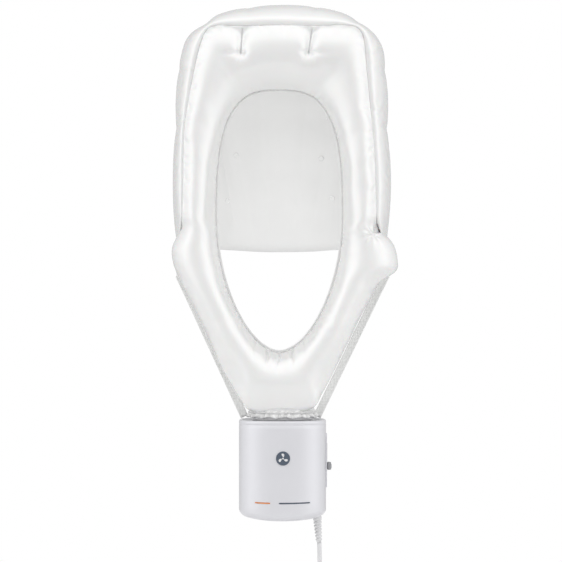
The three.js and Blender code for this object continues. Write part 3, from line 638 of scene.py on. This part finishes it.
def puckers(points):
    """Folds that run out of the welds, in millimetres along each vertex normal."""
    x, y, z = points.T
    shift = np.zeros(len(points))
    flat = np.stack([x, z], 1)
    angle = np.arctan2((x - OPENING_X) / OPENING_HALF_WIDTH, (z - OPENING_Z) / OPENING_HALF_HEIGHT)
    line = opening(np.linspace(0, TURN, 721))
    rough = fold_noise(points, 0.06, 1)
    rim_gap = np.full(len(points), FAR)
    out_gap = np.full(len(points), FAR)
    out_place = np.zeros(len(points))
    outline = spline(OUTLINE_RIGHT + OUTLINE_LEFT, 900, closed=True)
    for low in range(0, len(points), 4000):
        part = flat[low:low + 4000]
        rim_gap[low:low + 4000] = np.linalg.norm(part[:, None] - line[None], axis=2).min(1)
        gaps = np.linalg.norm(part[:, None] - outline[None], axis=2)
        out_gap[low:low + 4000] = gaps.min(1)
        out_place[low:low + 4000] = gaps.argmin(1)
    # the opening's lower end, where the film bunches round the tight bend
    low_end = smoothstep(-z, -226, -196) * smoothstep(-np.abs(x - OPENING_X), -36, -12)
    valleys = (1 - np.abs(np.sin(angle * 17 + 0.8 * rough))) ** 2.4
    folds = 0.35 * np.cos(angle * 46 + 3 * rough) - 2.9 * valleys
    shift += 1.3 * low_end * folds * np.exp(-(rim_gap / 11) ** 1.4) * smoothstep(rim_gap, 0, 2)
    # the rest of the rim, fine and short
    fine = 0.45 * (1 - low_end) * np.cos(angle * 95 + 9 * rough)
    shift += fine * np.exp(-(rim_gap / 4.5) ** 1.2) * (0.4 + rough)
    # short folds out of the side welds and along the V
    wave = np.cos(out_place * 0.62 + 5 * rough) + 0.5 * np.cos(out_place * 0.37 + 2)
    strength = 0.2 + 0.45 * smoothstep(z, 330, 380) * (0.5 + rough)
    shift += strength * wave * np.exp(-(out_gap / 7.5) ** 1.3) * smoothstep(out_gap, 0, 2.5)
    # bursts below the two darts
    for dart, side in ((LEFT_DART, -1), (RIGHT_DART, 1)):
        centre = dart[1]
        dx, dz = x - centre[0], z - centre[1]
        radius = np.hypot(dx, dz)
        burst = np.cos(5 * np.arctan2(dz, dx) + 0.8 + side)
        burst = burst * np.exp(-(radius / 13) ** 1.4) * smoothstep(radius, 0, 4)
        shift += 0.6 * burst
        crease = np.exp(-((dz - 1.5 + 0.05 * side * dx) / 2.2) ** 2) * smoothstep(side * dx, -14, 2)
        crease *= smoothstep(-side * dx, -30, -8)
        shift -= 2.0 * crease
    # the pinch where the right side weld runs into the ear
    dx, dz = x - PINCH[0], z - PINCH[1]
    radius = np.hypot(dx, dz)
    pinch = np.cos(8 * np.arctan2(dz, dx)) - 0.6
    shift += 1.5 * pinch * np.exp(-(radius / 9) ** 1.5) * smoothstep(radius, 0, 3) * (y < 0)
    shift += 0.5 * fold_noise(points, 0.022, 3)
    return shift


def roughened(obj, function):
    """Moves the vertices along their normals by function(points) millimetres."""
    points = get_points(obj)
    set_points(obj, points + get_normals(obj) * function(points * 1000 + HEAD_SEAT)[:, None] / 1000)


face_chamber = new_piece("face_chamber", *face_chamber_mesh(), FILM, "hood", "pearl_film")
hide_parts("hood_face_ring")
loop = 2 * ACROSS
order = np.arange(len(face_chamber.data.vertices)) % loop
held = np.where((order == 0) | (order == ACROSS), 1.0, 0.0)
local = working_points(face_chamber)
for segment in (LEFT_DART, RIGHT_DART):
    gap, _ = distance_to_segment(local[:, 0], local[:, 2], segment)
    held = np.maximum(held, np.where((gap < 1.9) & (local[:, 1] < 0), 1.0, 0.0))
held = np.maximum(held, smoothstep(-local[:, 2], -142, -130))
moved = inflate(face_chamber, held, 2.6, 0.006, 0.006, 14, loop, True)
print("face chamber, the solver's largest move:", round(moved * 1000, 1), "mm")
subdivide(face_chamber)
roughened(face_chamber, puckers)


def dart_welds():
    """Two short flat welds on the front film, laid on its surface. Their dark grey paints the shade of the
    dart creases.
    """
    points = working_points(face_chamber)
    front_points = points[get_normals(face_chamber)[:, 1] < 0]
    section = [(-0.75, 0.1), (-0.5, 0.35), (0.5, 0.35), (0.75, 0.1), (0.75, -0.4), (-0.75, -0.4)]
    parts = []
    for start, end in (LEFT_DART, RIGHT_DART):
        rings = []
        for share in np.linspace(0.06, 1, 24):
            x, z = start + (end - start) * share
            gap = np.hypot(front_points[:, 0] - x, front_points[:, 2] - z)
            depth = float(np.mean(front_points[np.argsort(gap)[:4], 1]))
            taper = 1 - 0.7 * smoothstep(share, 0.85, 1.0)
            rings.append([[x + across * taper, depth - rise, z] for across, rise in section])
        parts.append(lofted(rings))
    return merged(*parts)


# The dart welds take the dark grey that paints the crease shade.
new_piece("dart_welds", *dart_welds(), DART_WELD_PAINTED_SHADE, "hood", "pearl_film")

# ---------------------------------------------------------------- hood: crown chamber

ARCH_POINTS = 168
# The side welds and the top crease are the upper part of the face chamber's outer edge
SEAM_LEFT = [(-120.5, 325)] + OUTLINE_LEFT[OUTLINE_LEFT.index((-116.5, 334)):]
SEAM_RIGHT = OUTLINE_RIGHT[:OUTLINE_RIGHT.index((107.5, 342)) + 1] + [(112, 331)]
SILHOUETTE = [(-117, 300), (-121, 330), (-123.5, 365), (-124, 400), (-122.5, 440), (-120.5, 485),
              (-119, 522), (-114.5, 540), (-109.5, 551), (-101, 559.5), (-90, 566), (-76, 577),
              (-58, 582.8), (-40, 586.5), (-20, 588.3), (0, 588.6), (20, 588.3), (40, 587), (58, 583),
              (76, 577), (91, 567), (101, 559.5), (110, 550), (115.5, 539), (118, 520), (119.5, 490),
              (120.5, 455), (122.5, 410), (123.5, 375), (122.5, 345), (120.5, 325), (117, 300)]
SILHOUETTE_DEPTH = 38.0
SIDE_FOOT, NAPE_HALF_WIDTH, NAPE_HEIGHT = 300, 112, 66
PROFILE_KEYS = np.array([0, 0.15, 0.3, 0.45, 0.6, 0.75, 0.9, 1.0])
PROFILE_Y = np.array([38, 86, 128, 162, 183, 190, 189, 186])
PROFILE_Z = np.array([592.6, 587, 568, 530, 475, 408, 350, 322])
STRIP_ROWS, FAN_ROWS = 8, 34
LINER_GAP = 21.0
# The liner parts from the outer skin at this row
LINER_START = 3
# The welds that run front to back, by the x where they cross the crown or the z where they cross the sides
RIB_X = (-90, -38, 38, 90)
RIB_Z = (519, 448)


def crown_rows():
    seam = spline(SEAM_LEFT + SEAM_RIGHT, ARCH_POINTS)
    edge = spline(SILHOUETTE, ARCH_POINTS)
    real = np.stack(at_depth(edge[:, 0], edge[:, 1], SILHOUETTE_DEPTH), 1)
    rows = []
    seam_depth = SEAM_DEPTH * smoothstep(seam[:, 1], 318, 350)
    for k in range(STRIP_ROWS):
        swing = k / STRIP_ROWS * math.pi / 2
        # the first row tucks in behind the face chamber's edge
        out, back = (math.sin(swing), 1 - math.cos(swing)) if k else (-0.2, 0.03)
        flat = seam + (real - seam) * out
        depth = seam_depth + (SILHOUETTE_DEPTH - seam_depth) * back
        rows.append(stacked(flat[:, 0], depth, flat[:, 1]))
    height = (real[:, 1] - SIDE_FOOT) / (PROFILE_Z[0] - SIDE_FOOT)
    sweep = np.linspace(math.pi, 0, 400)
    round_x, round_h = superpoint(sweep, 1.0, 1.0, 2.5)
    nape = resampled(np.stack([round_x * NAPE_HALF_WIDTH, round_h * NAPE_HEIGHT], 1), ARCH_POINTS)
    nape_height = nape[:, 1] / NAPE_HEIGHT
    for k in range(FAN_ROWS + 1):
        f = k / FAN_ROWS
        base_y, base_z = SILHOUETTE_DEPTH + 88 * f, SIDE_FOOT + 20 * f
        top_y = np.interp(f, PROFILE_KEYS, PROFILE_Y)
        top_z = np.interp(f, PROFILE_KEYS, PROFILE_Z)
        blend = smoothstep(np.array(f), 0.1, 1.0) * (0.4 + 0.6 * f)
        x = real[:, 0] * (1 - 0.02 * f) * (1 - blend) + nape[:, 0] * blend
        h = height * (1 - blend) + nape_height * blend
        droop = 6 * smoothstep(f, 0.8, 1.0) * np.maximum(0, 1 - (x / 105) ** 2)
        rows.append(stacked(x, base_y + (top_y - base_y) * h, base_z + (top_z - base_z) * h - droop))
    return np.array(rows)


def grid_normals(rows):
    along = np.gradient(rows, axis=1)
    back = np.gradient(rows, axis=0)
    normal = np.cross(along, back)
    normal /= np.maximum(np.linalg.norm(normal, axis=2), 1e-9)[..., None]
    return normal


def rib_places():
    """The grid columns that the front-to-back welds run along."""
    line = crown_rows()[STRIP_ROWS]
    top = line[:, 2] > 545
    places = [int(np.argmin(np.where(top, np.abs(line[:, 0] - x), FAR))) for x in RIB_X]
    for z in RIB_Z:
        for sign in (-1, 1):
            places.append(int(np.argmin(np.where(sign * line[:, 0] > 60, np.abs(line[:, 2] - z), FAR))))
    return sorted(set(places))


RIBS = rib_places()


def rib_profile(count):
    """0 on a weld and 1 half way between two of them."""
    place = np.arange(count, dtype=float)
    knots = np.array([0] + RIBS + [count - 1], float)
    profile = np.ones(count)
    for low, high in zip(knots[:-1], knots[1:]):
        inside = (place >= low) & (place <= high)
        t = (place[inside] - low) / max(high - low, 1)
        edge = np.minimum(place[inside] - low, high - place[inside])
        profile[inside] = 0.45 * np.sin(math.pi * t) + 0.55 * (1 - np.exp(-edge / 1.1))
    return profile


def crown_chamber_mesh():
    rows = crown_rows()
    normal = grid_normals(rows)
    if normal[STRIP_ROWS, ARCH_POINTS // 2, 2] < 0:
        normal = -normal
    # the grid's corners have no sound normal of their own, so its edges take that of the rows beside them
    normal[-4:] = normal[-5]
    normal[:, :3] = normal[:, 3:4]
    normal[:, -3:] = normal[:, -4:-3]
    profile = rib_profile(ARCH_POINTS)
    fade = smoothstep(np.arange(len(rows)), 0, STRIP_ROWS)[:, None]
    end_fade = 1 - smoothstep(np.arange(len(rows)), len(rows) - 7, len(rows) - 1)[:, None]
    deepening = 0.4 + 0.6 * smoothstep(np.arange(len(rows)), STRIP_ROWS, STRIP_ROWS + 12)[:, None]
    outer = rows + normal * ((profile[None] * 3.4 - 3.0) * fade * end_fade * deepening)[..., None]
    inner = rows - normal * (LINER_GAP - 0.6 * (1 - profile[None]) * fade * end_fade)[..., None]
    inner[:, :, 2] = np.maximum(inner[:, :, 2], 292)
    inner[:LINER_START] = outer[0]
    seam_y = inner[LINER_START:STRIP_ROWS + 1, :, 1]
    inner[LINER_START:STRIP_ROWS + 1, :, 1] = np.maximum(seam_y, seam_y * 0.6 + 14)
    hem = []
    middle = (outer[-1] + inner[-1]) / 2
    half = (outer[-1] - inner[-1]) / 2
    for step in range(1, 6):
        swing = step / 6 * math.pi
        drop = np.linalg.norm(half, axis=1) * math.sin(swing) * 0.8
        ring = middle + half * math.cos(swing)
        ring[:, 2] -= drop
        hem.append(ring)
    loop_rows = np.concatenate([outer, np.array(hem), inner[:LINER_START - 1:-1]])
    rings = loop_rows.transpose(1, 0, 2)
    return lofted(rings), len(outer), len(hem), len(loop_rows)


(crown_verts, crown_faces), outer_rows, hem_rows, ring_size = crown_chamber_mesh()
crown_chamber = new_piece("crown_chamber", crown_verts, crown_faces, FILM, "hood", "pearl_film")
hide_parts("hood_outer_skin", "hood_liner", "nape_hem")
# The hem and the liner faces take the darker copy of the film, which paints the shade there.
crown_chamber.data.materials.append(LINER_PAINTED_SHADE)
for face in crown_chamber.data.polygons:
    if min(index % ring_size for index in face.vertices) >= outer_rows:
        face.material_index = 1
crown_order = np.arange(len(crown_chamber.data.vertices))
if len(crown_order) == len(crown_verts):
    column, place = crown_order // ring_size, crown_order % ring_size
    held = np.zeros(len(crown_order))
    held[(place == 0) | (column == 0) | (column == ARCH_POINTS - 1)] = 1
    held[np.isin(column, RIBS) & (place < outer_rows)] = 1
    held[(place >= outer_rows - 2) & (place < outer_rows + hem_rows + 2)] = 1
    held[place >= outer_rows + hem_rows] = 0.25
    moved = inflate(crown_chamber, held, 1.6, 0.006, 0.004, 12, ring_size, False)
    print("crown chamber, the solver's largest move:", round(moved * 1000, 1), "mm")


def crown_folds(points):
    x, y, z = points.T
    rough = fold_noise(points, 0.05, 5)
    shift = 0.5 * fold_noise(points, 0.022, 4)
    side = smoothstep(np.abs(x), 92, 106) * smoothstep(-y, -34, 8)
    shift += side * 0.5 * np.cos(z * 0.30 + 6 * rough) * (0.5 + rough)
    return shift


subdivide(crown_chamber)
roughened(crown_chamber, crown_folds)

# ---------------------------------------------------------------- hood: rim, eyelets, neck


def rim_mesh():
    """The trimmed weld round the opening: a flat flange with a fine bead."""
    section = [(0.9, 0.0), (0.9, 0.35), (-0.7, 0.4), (-1.0, 0.7), (-1.4, 0.8), (-1.8, 0.5), (-1.9, 0.0),
               (-1.8, -0.5), (-1.4, -0.8), (-1.0, -0.7), (-0.7, -0.4), (0.9, -0.35)]
    angle = round_angles(480)
    rings = []
    for turn in angle:
        centre = opening(np.array(turn))
        outward = opening(np.array(turn), 1.0) - centre
        outward /= np.linalg.norm(outward)
        wobble = 0.25 * math.cos(turn * 61 + 2 * math.cos(turn * 17))
        rings.append([[centre[0] + outward[0] * out, RIM_DEPTH + depth + wobble, centre[1] + outward[1] * out]
                      for out, depth in section])
    return lofted(rings, looped=True)


rim = new_piece("opening_rim", *rim_mesh(), WELD, "hood", "pearl_film")
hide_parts("face_binding")


def eyelet_mesh(centre, normal):
    """A small punched air hole: a raised weld ring round a dished middle."""
    side = np.cross(normal, [0, 0, 1.0])
    side /= np.linalg.norm(side)
    up = np.cross(side, normal)
    angle = round_angles(24)
    outward = np.cos(angle)[:, None] * side + np.sin(angle)[:, None] * up
    uneven = (0.7 + 2.2 * np.maximum(0, np.sin(angle - 0.5)))[:, None]
    rings = [centre + normal * (height * uneven) + radius * outward
             for radius, height in ((3.4, -0.4), (3.4, 0.35), (3.0, 0.75), (2.5, 0.7), (2.2, 0.1),
                                    (1.9, -0.6), (0.2, -0.8))]
    return lofted(rings)


def eyelets():
    """Rows of air holes over the back and sides of the liner."""
    points = working_points(crown_chamber)
    normals = get_normals(crown_chamber)
    parts = []
    for height, spread in ((372, 64), (424, 52), (372, 96), (424, 92), (474, 60), (474, 98)):
        for sign in (-1, 1):
            x = sign * spread - 4
            gap = np.hypot(points[:, 0] - x, points[:, 2] - height)
            inside = (normals[:, 1] < -0.1) | (normals[:, 0] * sign < -0.5)
            gap = np.where(inside & (points[:, 1] > 45), gap, FAR)
            found = int(np.argmin(gap))
            parts.append(eyelet_mesh(points[found], normals[found]))
    return merged(*parts)


new_piece("air_eyelets", *eyelets(), EYELET, "hood", "pearl_film")


def neck_mesh():
    """The film gathered under the elastic: folds that deepen downward, doubled into a closed sleeve."""
    count = 220
    angle = round_angles(count)
    folds = np.cos(angle * 24 + 1.4 * np.cos(angle * 5)) + 0.5 * np.cos(angle * 37 + 1)
    levels = [(-9.0, 136, 0.0), (-6.0, 129, 0.2), (-2.0, 125.5, 0.6), (-0.3, 124.2, 0.9), (-0.5, 122.9, 0.6),
              (0.4, 121.6, 1.0), (1.4, 119.4, 1.5), (2.0, 117.4, 1.9), (1.2, 116.9, 1.6), (0.6, 119.4, 1.2),
              (-1.2, 122.9, 0.5), (-2.6, 125.5, 0.5), (-9.5, 136, 0.0)]
    rings = []
    for grow, z, depth in levels:
        rx = 38 + grow + depth * 0.75 * folds
        ry = 29.5 + grow + depth * 0.75 * folds
        lift = 0.5 * depth * np.cos(angle * 13 + 0.7)
        rings.append(stacked(rx * np.cos(angle), ry * np.sin(angle), z + lift))
    return lofted(rings, looped=True)


# The gathered sleeve's mottle is painted crinkle shade and highlights.
neck = new_piece("neck_gather", *neck_mesh(), CRINKLES_AND_PAINTED_SHADE, "hood", "pearl_film")
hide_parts("neck_sleeve")


def elastic_mesh():
    angle = round_angles(160)
    path = stacked(38.6 * np.cos(angle), 30.1 * np.sin(angle), 122.9 + 0.3 * np.cos(angle * 9))
    rings = []
    for k, centre in enumerate(path):
        outward = np.array([math.cos(angle[k]), math.sin(angle[k]), 0])
        rings.append([centre + outward * 1.1 * math.cos(a) + np.array([0, 0, 1.1 * math.sin(a)])
                      for a in round_angles(10)])
    return lofted(rings, looped=True)


elastic = new_piece("neck_band", *elastic_mesh(), ELASTIC, "hood", "elastic")
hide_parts("neck_elastic")

# ---------------------------------------------------------------- hood: support tapes


def tape_mesh(sign, foot):
    low = np.array([sign * foot, 12.0, 116.4])
    high = np.array([sign * 117.0, 38.0, 272.0])
    share = np.linspace(0, 1.05, 62)[:, None]
    line = low + (high - low) * share
    line[:, 1] -= 1.9 * smoothstep(share[:, 0], 0.93, 1.0)
    line[:, 1] += 1.2 * np.sin(math.pi * share[:, 0])
    along = (high - low) / np.linalg.norm(high - low)
    across = np.cross([0.0, 1.0, 0.0], along)
    across /= np.linalg.norm(across)
    ripple = 0.35 * np.cos(share[:, 0] * 21)
    tilt = 0.12 * np.sin(share[:, 0] * 6)
    normal = np.cross(along, across)
    side = across[None] * np.cos(tilt)[:, None] + normal[None] * np.sin(tilt)[:, None]
    upper = [(-4.5, 0.1), (-4.3, 0.4), (-3.2, 0.4), (-2.9, 0.25), (2.9, 0.25), (3.2, 0.4), (4.3, 0.4),
             (4.5, 0.1)]
    section = upper + [(x, -thick) for x, thick in upper[::-1]]
    line += normal[None] * ripple[:, None]
    return lofted(swept(line, section, side))


# The patches reach up to the crown chamber's hem
PATCH_X, PATCH_Z = 116.0, 290.5


def patch_mesh(sign):
    """The doubled, welded end of a tape on the hood's lower corner."""
    angle = round_angles(40)
    rings = []
    for grow, depth in ((-1.2, -1.0), (-0.3, -0.9), (0, -0.4), (0, 0.4), (-0.3, 0.9), (-1.2, 1.0),
                        (-2.2, 0.5), (-4.2, 0.5), (-5.2, 0.9), (-7.4, 0.9)):
        x, z = superpoint(angle, 8.0 + grow, 17.0 + grow, 4.0)
        rings.append(stacked(x + sign * PATCH_X, 38.0 + depth, z + PATCH_Z))
    return lofted(rings)


for word, sign, foot in (("left", -1, 44.0), ("right", 1, 40.0)):
    tape = new_piece(f"tape_{word}", *tape_mesh(sign, foot), TAPE, "hood", "clear_tape")
    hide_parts(f"support_tape_{word}")
    patch = new_piece(f"patch_{word}", *patch_mesh(sign), WELD, "hood", "pearl_film")
    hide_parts(f"tape_patch_{word}")

# ---------------------------------------------------------------- blower housing

HALF_WIDTH, HALF_DEPTH, HOUSING_HEIGHT, POWER = 50.0, 40.0, 114.0, 2.6
BOTTOM_RADIUS, TOP_RADIUS, WALL = 8.0, 2.0, 2.0
BOW_RADIUS, BOW_HEIGHT = 252.0, 30.0
OUTLET, INLET = (33.4, 25.4), (31.0, 26.0)
SEAM_GROOVE = 0.22


def bowed(x, y, z):
    """Points of the drum, whose lowest part rises toward its sides."""
    return stacked(x, y, z + np.maximum(0, 1 - z / BOW_HEIGHT) * x ** 2 / (2 * BOW_RADIUS))


def housing_point(angle, inset, z):
    """A point on the drum at an angle, moved in by an inset."""
    x, y = superpoint(angle, HALF_WIDTH - inset, HALF_DEPTH - inset, POWER)
    return bowed(x, y, z)


def half_shell(side):
    """One housing half: outer skin, turned edges, inner skin and the split faces."""
    angle = np.linspace(0, math.pi, 97) + (math.pi if side < 0 else 0)
    rings = []

    def mouth(size, z, grow=0.0):
        x, y = superpoint(angle, size[0] + grow, size[1] + grow, 2.0)
        rings.append(bowed(x, y, z))

    def wall(*insets_and_heights):
        for inset, z in insets_and_heights:
            rings.append(housing_point(angle, inset, z))

    mouth(INLET, 0.6)
    mouth(INLET, 0.0, 0.6)
    wall((12.5, 0.0), (9.5, 0.0))
    for step in range(1, 9):
        swing = step / 8 * math.pi / 2
        wall((BOTTOM_RADIUS * (1 - math.sin(swing)), BOTTOM_RADIUS * (1 - math.cos(swing))))
    for z in np.linspace(16, 104, 12):
        wall((0.0, z))
    wall((0.0, 108.6), (0.35, 109.0), (0.35, 109.6), (0.0, 110.0))
    for step in range(0, 6):
        swing = step / 5 * math.pi / 2
        wall((TOP_RADIUS * (1 - math.cos(swing)), HOUSING_HEIGHT - TOP_RADIUS * (1 - math.sin(swing))))
    wall((5.0, HOUSING_HEIGHT), (5.6, HOUSING_HEIGHT - 0.8))
    mouth(OUTLET, HOUSING_HEIGHT - 0.8, 2.0)
    mouth(OUTLET, HOUSING_HEIGHT - 1.2)
    mouth(OUTLET, HOUSING_HEIGHT - 3.0)
    wall((6, HOUSING_HEIGHT - 3.0), (WALL, HOUSING_HEIGHT - 5.0), (WALL, 60.0), (WALL, 9.0), (WALL + 4, 3.2))
    mouth(INLET, 2.4)
    rings = np.array(rings)
    sign = 1 if side > 0 else -1
    split = np.abs(rings[:, :, 1]) < 1e-6
    rings[:, :, 1] = np.where(split, sign * SEAM_GROOVE / 2, rings[:, :, 1])
    return lofted(rings.transpose(1, 0, 2))


front_shell = new_piece("shell_front", *half_shell(-1), SILVER, "blower", "silver_white")
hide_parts("housing_front")
rear_shell = new_piece("shell_rear", *half_shell(1), SILVER, "blower", "silver_white")
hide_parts("housing_rear")


def surface_patch(centre_angle, half_wide, low, high, rise, sink, corner):
    """A plate with round corners that follows the drum. Its size across is along the drum's surface."""
    fine = np.linspace(-0.9, 0.9, 721)
    along = lengths_along(housing_point(centre_angle + fine, 0.0, np.full(721, 60.0)))
    along -= np.interp(0.0, fine, along)
    middle, tall = (low + high) / 2, (high - low) / 2
    angle = round_angles(64)
    wide, high_part = superpoint(angle, 1.0, 1.0, 2 + 6 / max(corner, 0.5))
    rings = []
    for scale_inset, out in ((0.0, sink), (0.0, rise - 0.35), (0.15, rise - 0.08), (0.5, rise), (1.6, rise)):
        place = wide * (half_wide - scale_inset)
        z = middle + high_part * (tall - scale_inset)
        turn = centre_angle + np.interp(place, along, fine)
        rings.append(housing_point(turn, -out, z))
    return lofted(rings)


SIDE = 0.0
FRONT = -math.pi / 2
plate = new_piece("switch_bezel", *surface_patch(SIDE, 8.0, 36, 98, 1.2, 0.1, 2.5), SILVER, "blower",
                  "silver_white")
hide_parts("switch_plate")
new_piece("switch_recess", *surface_patch(SIDE, 3.5, 54.5, 87, 1.35, 0.6, 1.5), DARK, "blower",
          "dark_plastic")

KNOB_Z = 60.5


def knob_mesh():
    """The slide knob: a ridged head on its stem."""
    rings = []
    angle = round_angles(40)
    for x, wide, tall in ((46, 2.4, 3.5), (51.6, 2.4, 3.5), (51.7, 4.4, 4.2), (52.2, 4.9, 4.6),
                          (54.6, 4.8, 4.5), (55.6, 4.3, 4.1), (56.0, 3.2, 3.2)):
        y, z = superpoint(angle, wide, tall, 4.0)
        ridge = 0.35 * np.cos(z * 3.4) if x > 54 else 0
        rings.append(stacked(x + ridge, y, z + KNOB_Z))
    return lofted(rings)


knob = new_piece("slide_knob", *knob_mesh(), GREY, "switch_knob", "dark_plastic")
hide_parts("switch_knob")

# A plain disc with a fan sign, and a plain two-tone line, in place of the marks
BADGE_X, BADGE_Z = 0.6, 72.0
SIGN_FACES = (-40.8, -41.15)


def badge_mesh():
    angle = round_angles(72)
    rings = []
    for radius, y in ((8.0, -39.6), (8.0, -40.7), (7.7, -41.0), (7.2, -41.05), (6.9, -40.85), (0.5, -40.85)):
        rings.append(stacked(BADGE_X + radius * np.cos(angle), y, BADGE_Z + radius * np.sin(angle)))
    return lofted(rings)


def fan_sign():
    """Three plain blades round a hub."""
    parts = []
    angle = round_angles(28)
    for k in range(3):
        lean = k / 3 * TURN + math.pi / 2
        x = 3.6 + 2.1 * np.cos(angle)
        z = 1.25 * np.sin(angle) * (1.1 + 0.5 * np.cos(angle)) + 0.5 * np.cos(angle)
        turned_x = x * math.cos(lean) - z * math.sin(lean)
        turned_z = x * math.sin(lean) + z * math.cos(lean)
        rings = [stacked(BADGE_X + turned_x, y, BADGE_Z + turned_z) for y in SIGN_FACES]
        parts.append(lofted(rings))
    hub = [stacked(BADGE_X + np.cos(angle), y, BADGE_Z + np.sin(angle)) for y in SIGN_FACES]
    parts.append(lofted(hub))
    return merged(*parts)


badge = new_piece("badge_disc", *badge_mesh(), SLATE, "blower", "slate")
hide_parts("badge")
new_piece("badge_sign", *fan_sign(), WHITE, "blower", "white_plastic", smooth=False)
new_piece("line_accent", *surface_patch(FRONT - 0.37, 9.0, 20.2, 21.8, 0.35, 0.0, 0.5), ORANGE,
          "blower", "slate")
line_right = new_piece("line_main", *surface_patch(FRONT + 0.19, 18.0, 20.2, 21.8, 0.35, 0.0, 0.5), SLATE,
                       "blower", "slate")
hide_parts("accent_line")

# ---------------------------------------------------------------- finishes on the CAD pieces that show

FINISHES = {
    WHITE: ["hood_collar_ring", "tape_hook_left", "tape_hook_right", "outlet_spigot", "cord_clamp"],
    DARK: ["switch_body", "outlet_grille", "inlet_grille", "impeller"],
    INNER: ["fan_duct", "stator_hub", "ion_module", "motor_end_cap"],
    STEEL: ["case_screw_1", "case_screw_2", "case_screw_3", "case_screw_4", "motor_can", "motor_shaft",
            "clamp_screw_1", "clamp_screw_2", "ion_needle", "magnet_a", "magnet_b"],
    BRASS: ["plug_pin_a", "plug_pin_b", "thermostat"],
    COPPER: ["armature", "heater_coil", "lead_to_switch", "lead_to_board"],
    MICA: ["heater_tube", "mica_card_a", "mica_card_b"],
    BOARD: ["control_board"],
    FOAM: ["inlet_filter"],
    SILVER: ["thermal_fuse"],
}
for surface, names in FINISHES.items():
    for name in names:
        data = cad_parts[name].data
        data.materials.clear()
        data.materials.append(surface)

# ---------------------------------------------------------------- stage and light

FLOOR_RADIUS, FLOOR_Z = 1500.0, -246.0


def floor_mesh():
    angle = round_angles(96)
    rings = [stacked(radius * np.cos(angle), radius * np.sin(angle) + 40, z)
             for radius, z in ((1, FLOOR_Z), (FLOOR_RADIUS, FLOOR_Z),
                               (FLOOR_RADIUS, FLOOR_Z - 5), (1, FLOOR_Z - 5))]
    return lofted(rings)


FLOOR = material("pale_floor", (0.86, 0.86, 0.86), 0.7, mottle=0.01, mottle_scale=3)
floor_verts, floor_faces = floor_mesh()
floor_data = bpy.data.meshes.new("floor")
floor_data.from_pydata([tuple(p) for p in row(floor_verts)], [], floor_faces)
floor_data.materials.append(FLOOR)
floor = bpy.data.objects.new("floor", floor_data)
bpy.context.scene.collection.objects.link(floor)

# Light by direction, from straight in front (0) to straight behind (1): a dim front, bright sides and dim
# flags round the bright backdrop. The backdrop itself is plain white.
SKY_LEVELS = [(0.0, 0.70), (0.05, 0.80), (0.16, 1.12), (0.32, 1.24), (0.52, 0.98), (0.74, 0.78),
              (0.90, 0.60), (0.985, 0.60)]
LOW_LIGHT = 0.72
BACKDROP = (1.0, 1.0, 1.0, 1)

world = bpy.data.worlds.new("studio")
bpy.context.scene.world = world
world.use_nodes = True
sky = world.node_tree
studio_light = sky.nodes["Background"]
direction = add_node(sky, "ShaderNodeTexCoord")
split = add_node(sky, "ShaderNodeSeparateXYZ", sources={"Vector": direction.outputs["Generated"]})
halved = add_node(sky, "ShaderNodeMapRange", {"From Min": -1}, {"Value": split.outputs["Y"]})
levels = add_node(sky, "ShaderNodeValToRGB", sources={"Fac": halved.outputs["Result"]})
levels.color_ramp.interpolation = "EASE"
stops = levels.color_ramp.elements
while len(stops) < len(SKY_LEVELS):
    stops.new(0.5)
for stop, (position, level) in zip(stops, SKY_LEVELS):
    stop.position = position
    stop.color = (level, level, level, 1)
from_below = add_node(sky, "ShaderNodeMapRange", {"From Min": -0.7, "From Max": 0.1, "To Min": LOW_LIGHT},
                      {"Value": split.outputs["Z"]})
from_below.interpolation_type = "SMOOTHSTEP"
sky.links.new(levels.outputs["Color"], studio_light.inputs["Color"])
sky.links.new(from_below.outputs["Result"], studio_light.inputs["Strength"])
backdrop = add_node(sky, "ShaderNodeBackground", {"Color": BACKDROP})
ray = add_node(sky, "ShaderNodeLightPath")
chosen = add_node(sky, "ShaderNodeMixShader", sources={
    "Fac": ray.outputs["Is Camera Ray"], 1: studio_light.outputs["Background"],
    2: backdrop.outputs["Background"]})
sky.links.new(chosen.outputs["Shader"], sky.nodes["World Output"].inputs["Surface"])

# A soft panel inside the face opening, which lights the back of the liner
fill_data = bpy.data.lights.new("liner_fill", "AREA")
fill_data.shape = "RECTANGLE"
fill_data.size, fill_data.size_y = 0.11, 0.22
fill_data.energy = 0.088
fill = bpy.data.objects.new("liner_fill", fill_data)
bpy.context.scene.collection.objects.link(fill)
fill.location = row([-4, 26, 390])
fill.rotation_euler = (math.pi / 2, 0, 0)
fill.visible_camera = False
fill.visible_glossy = False
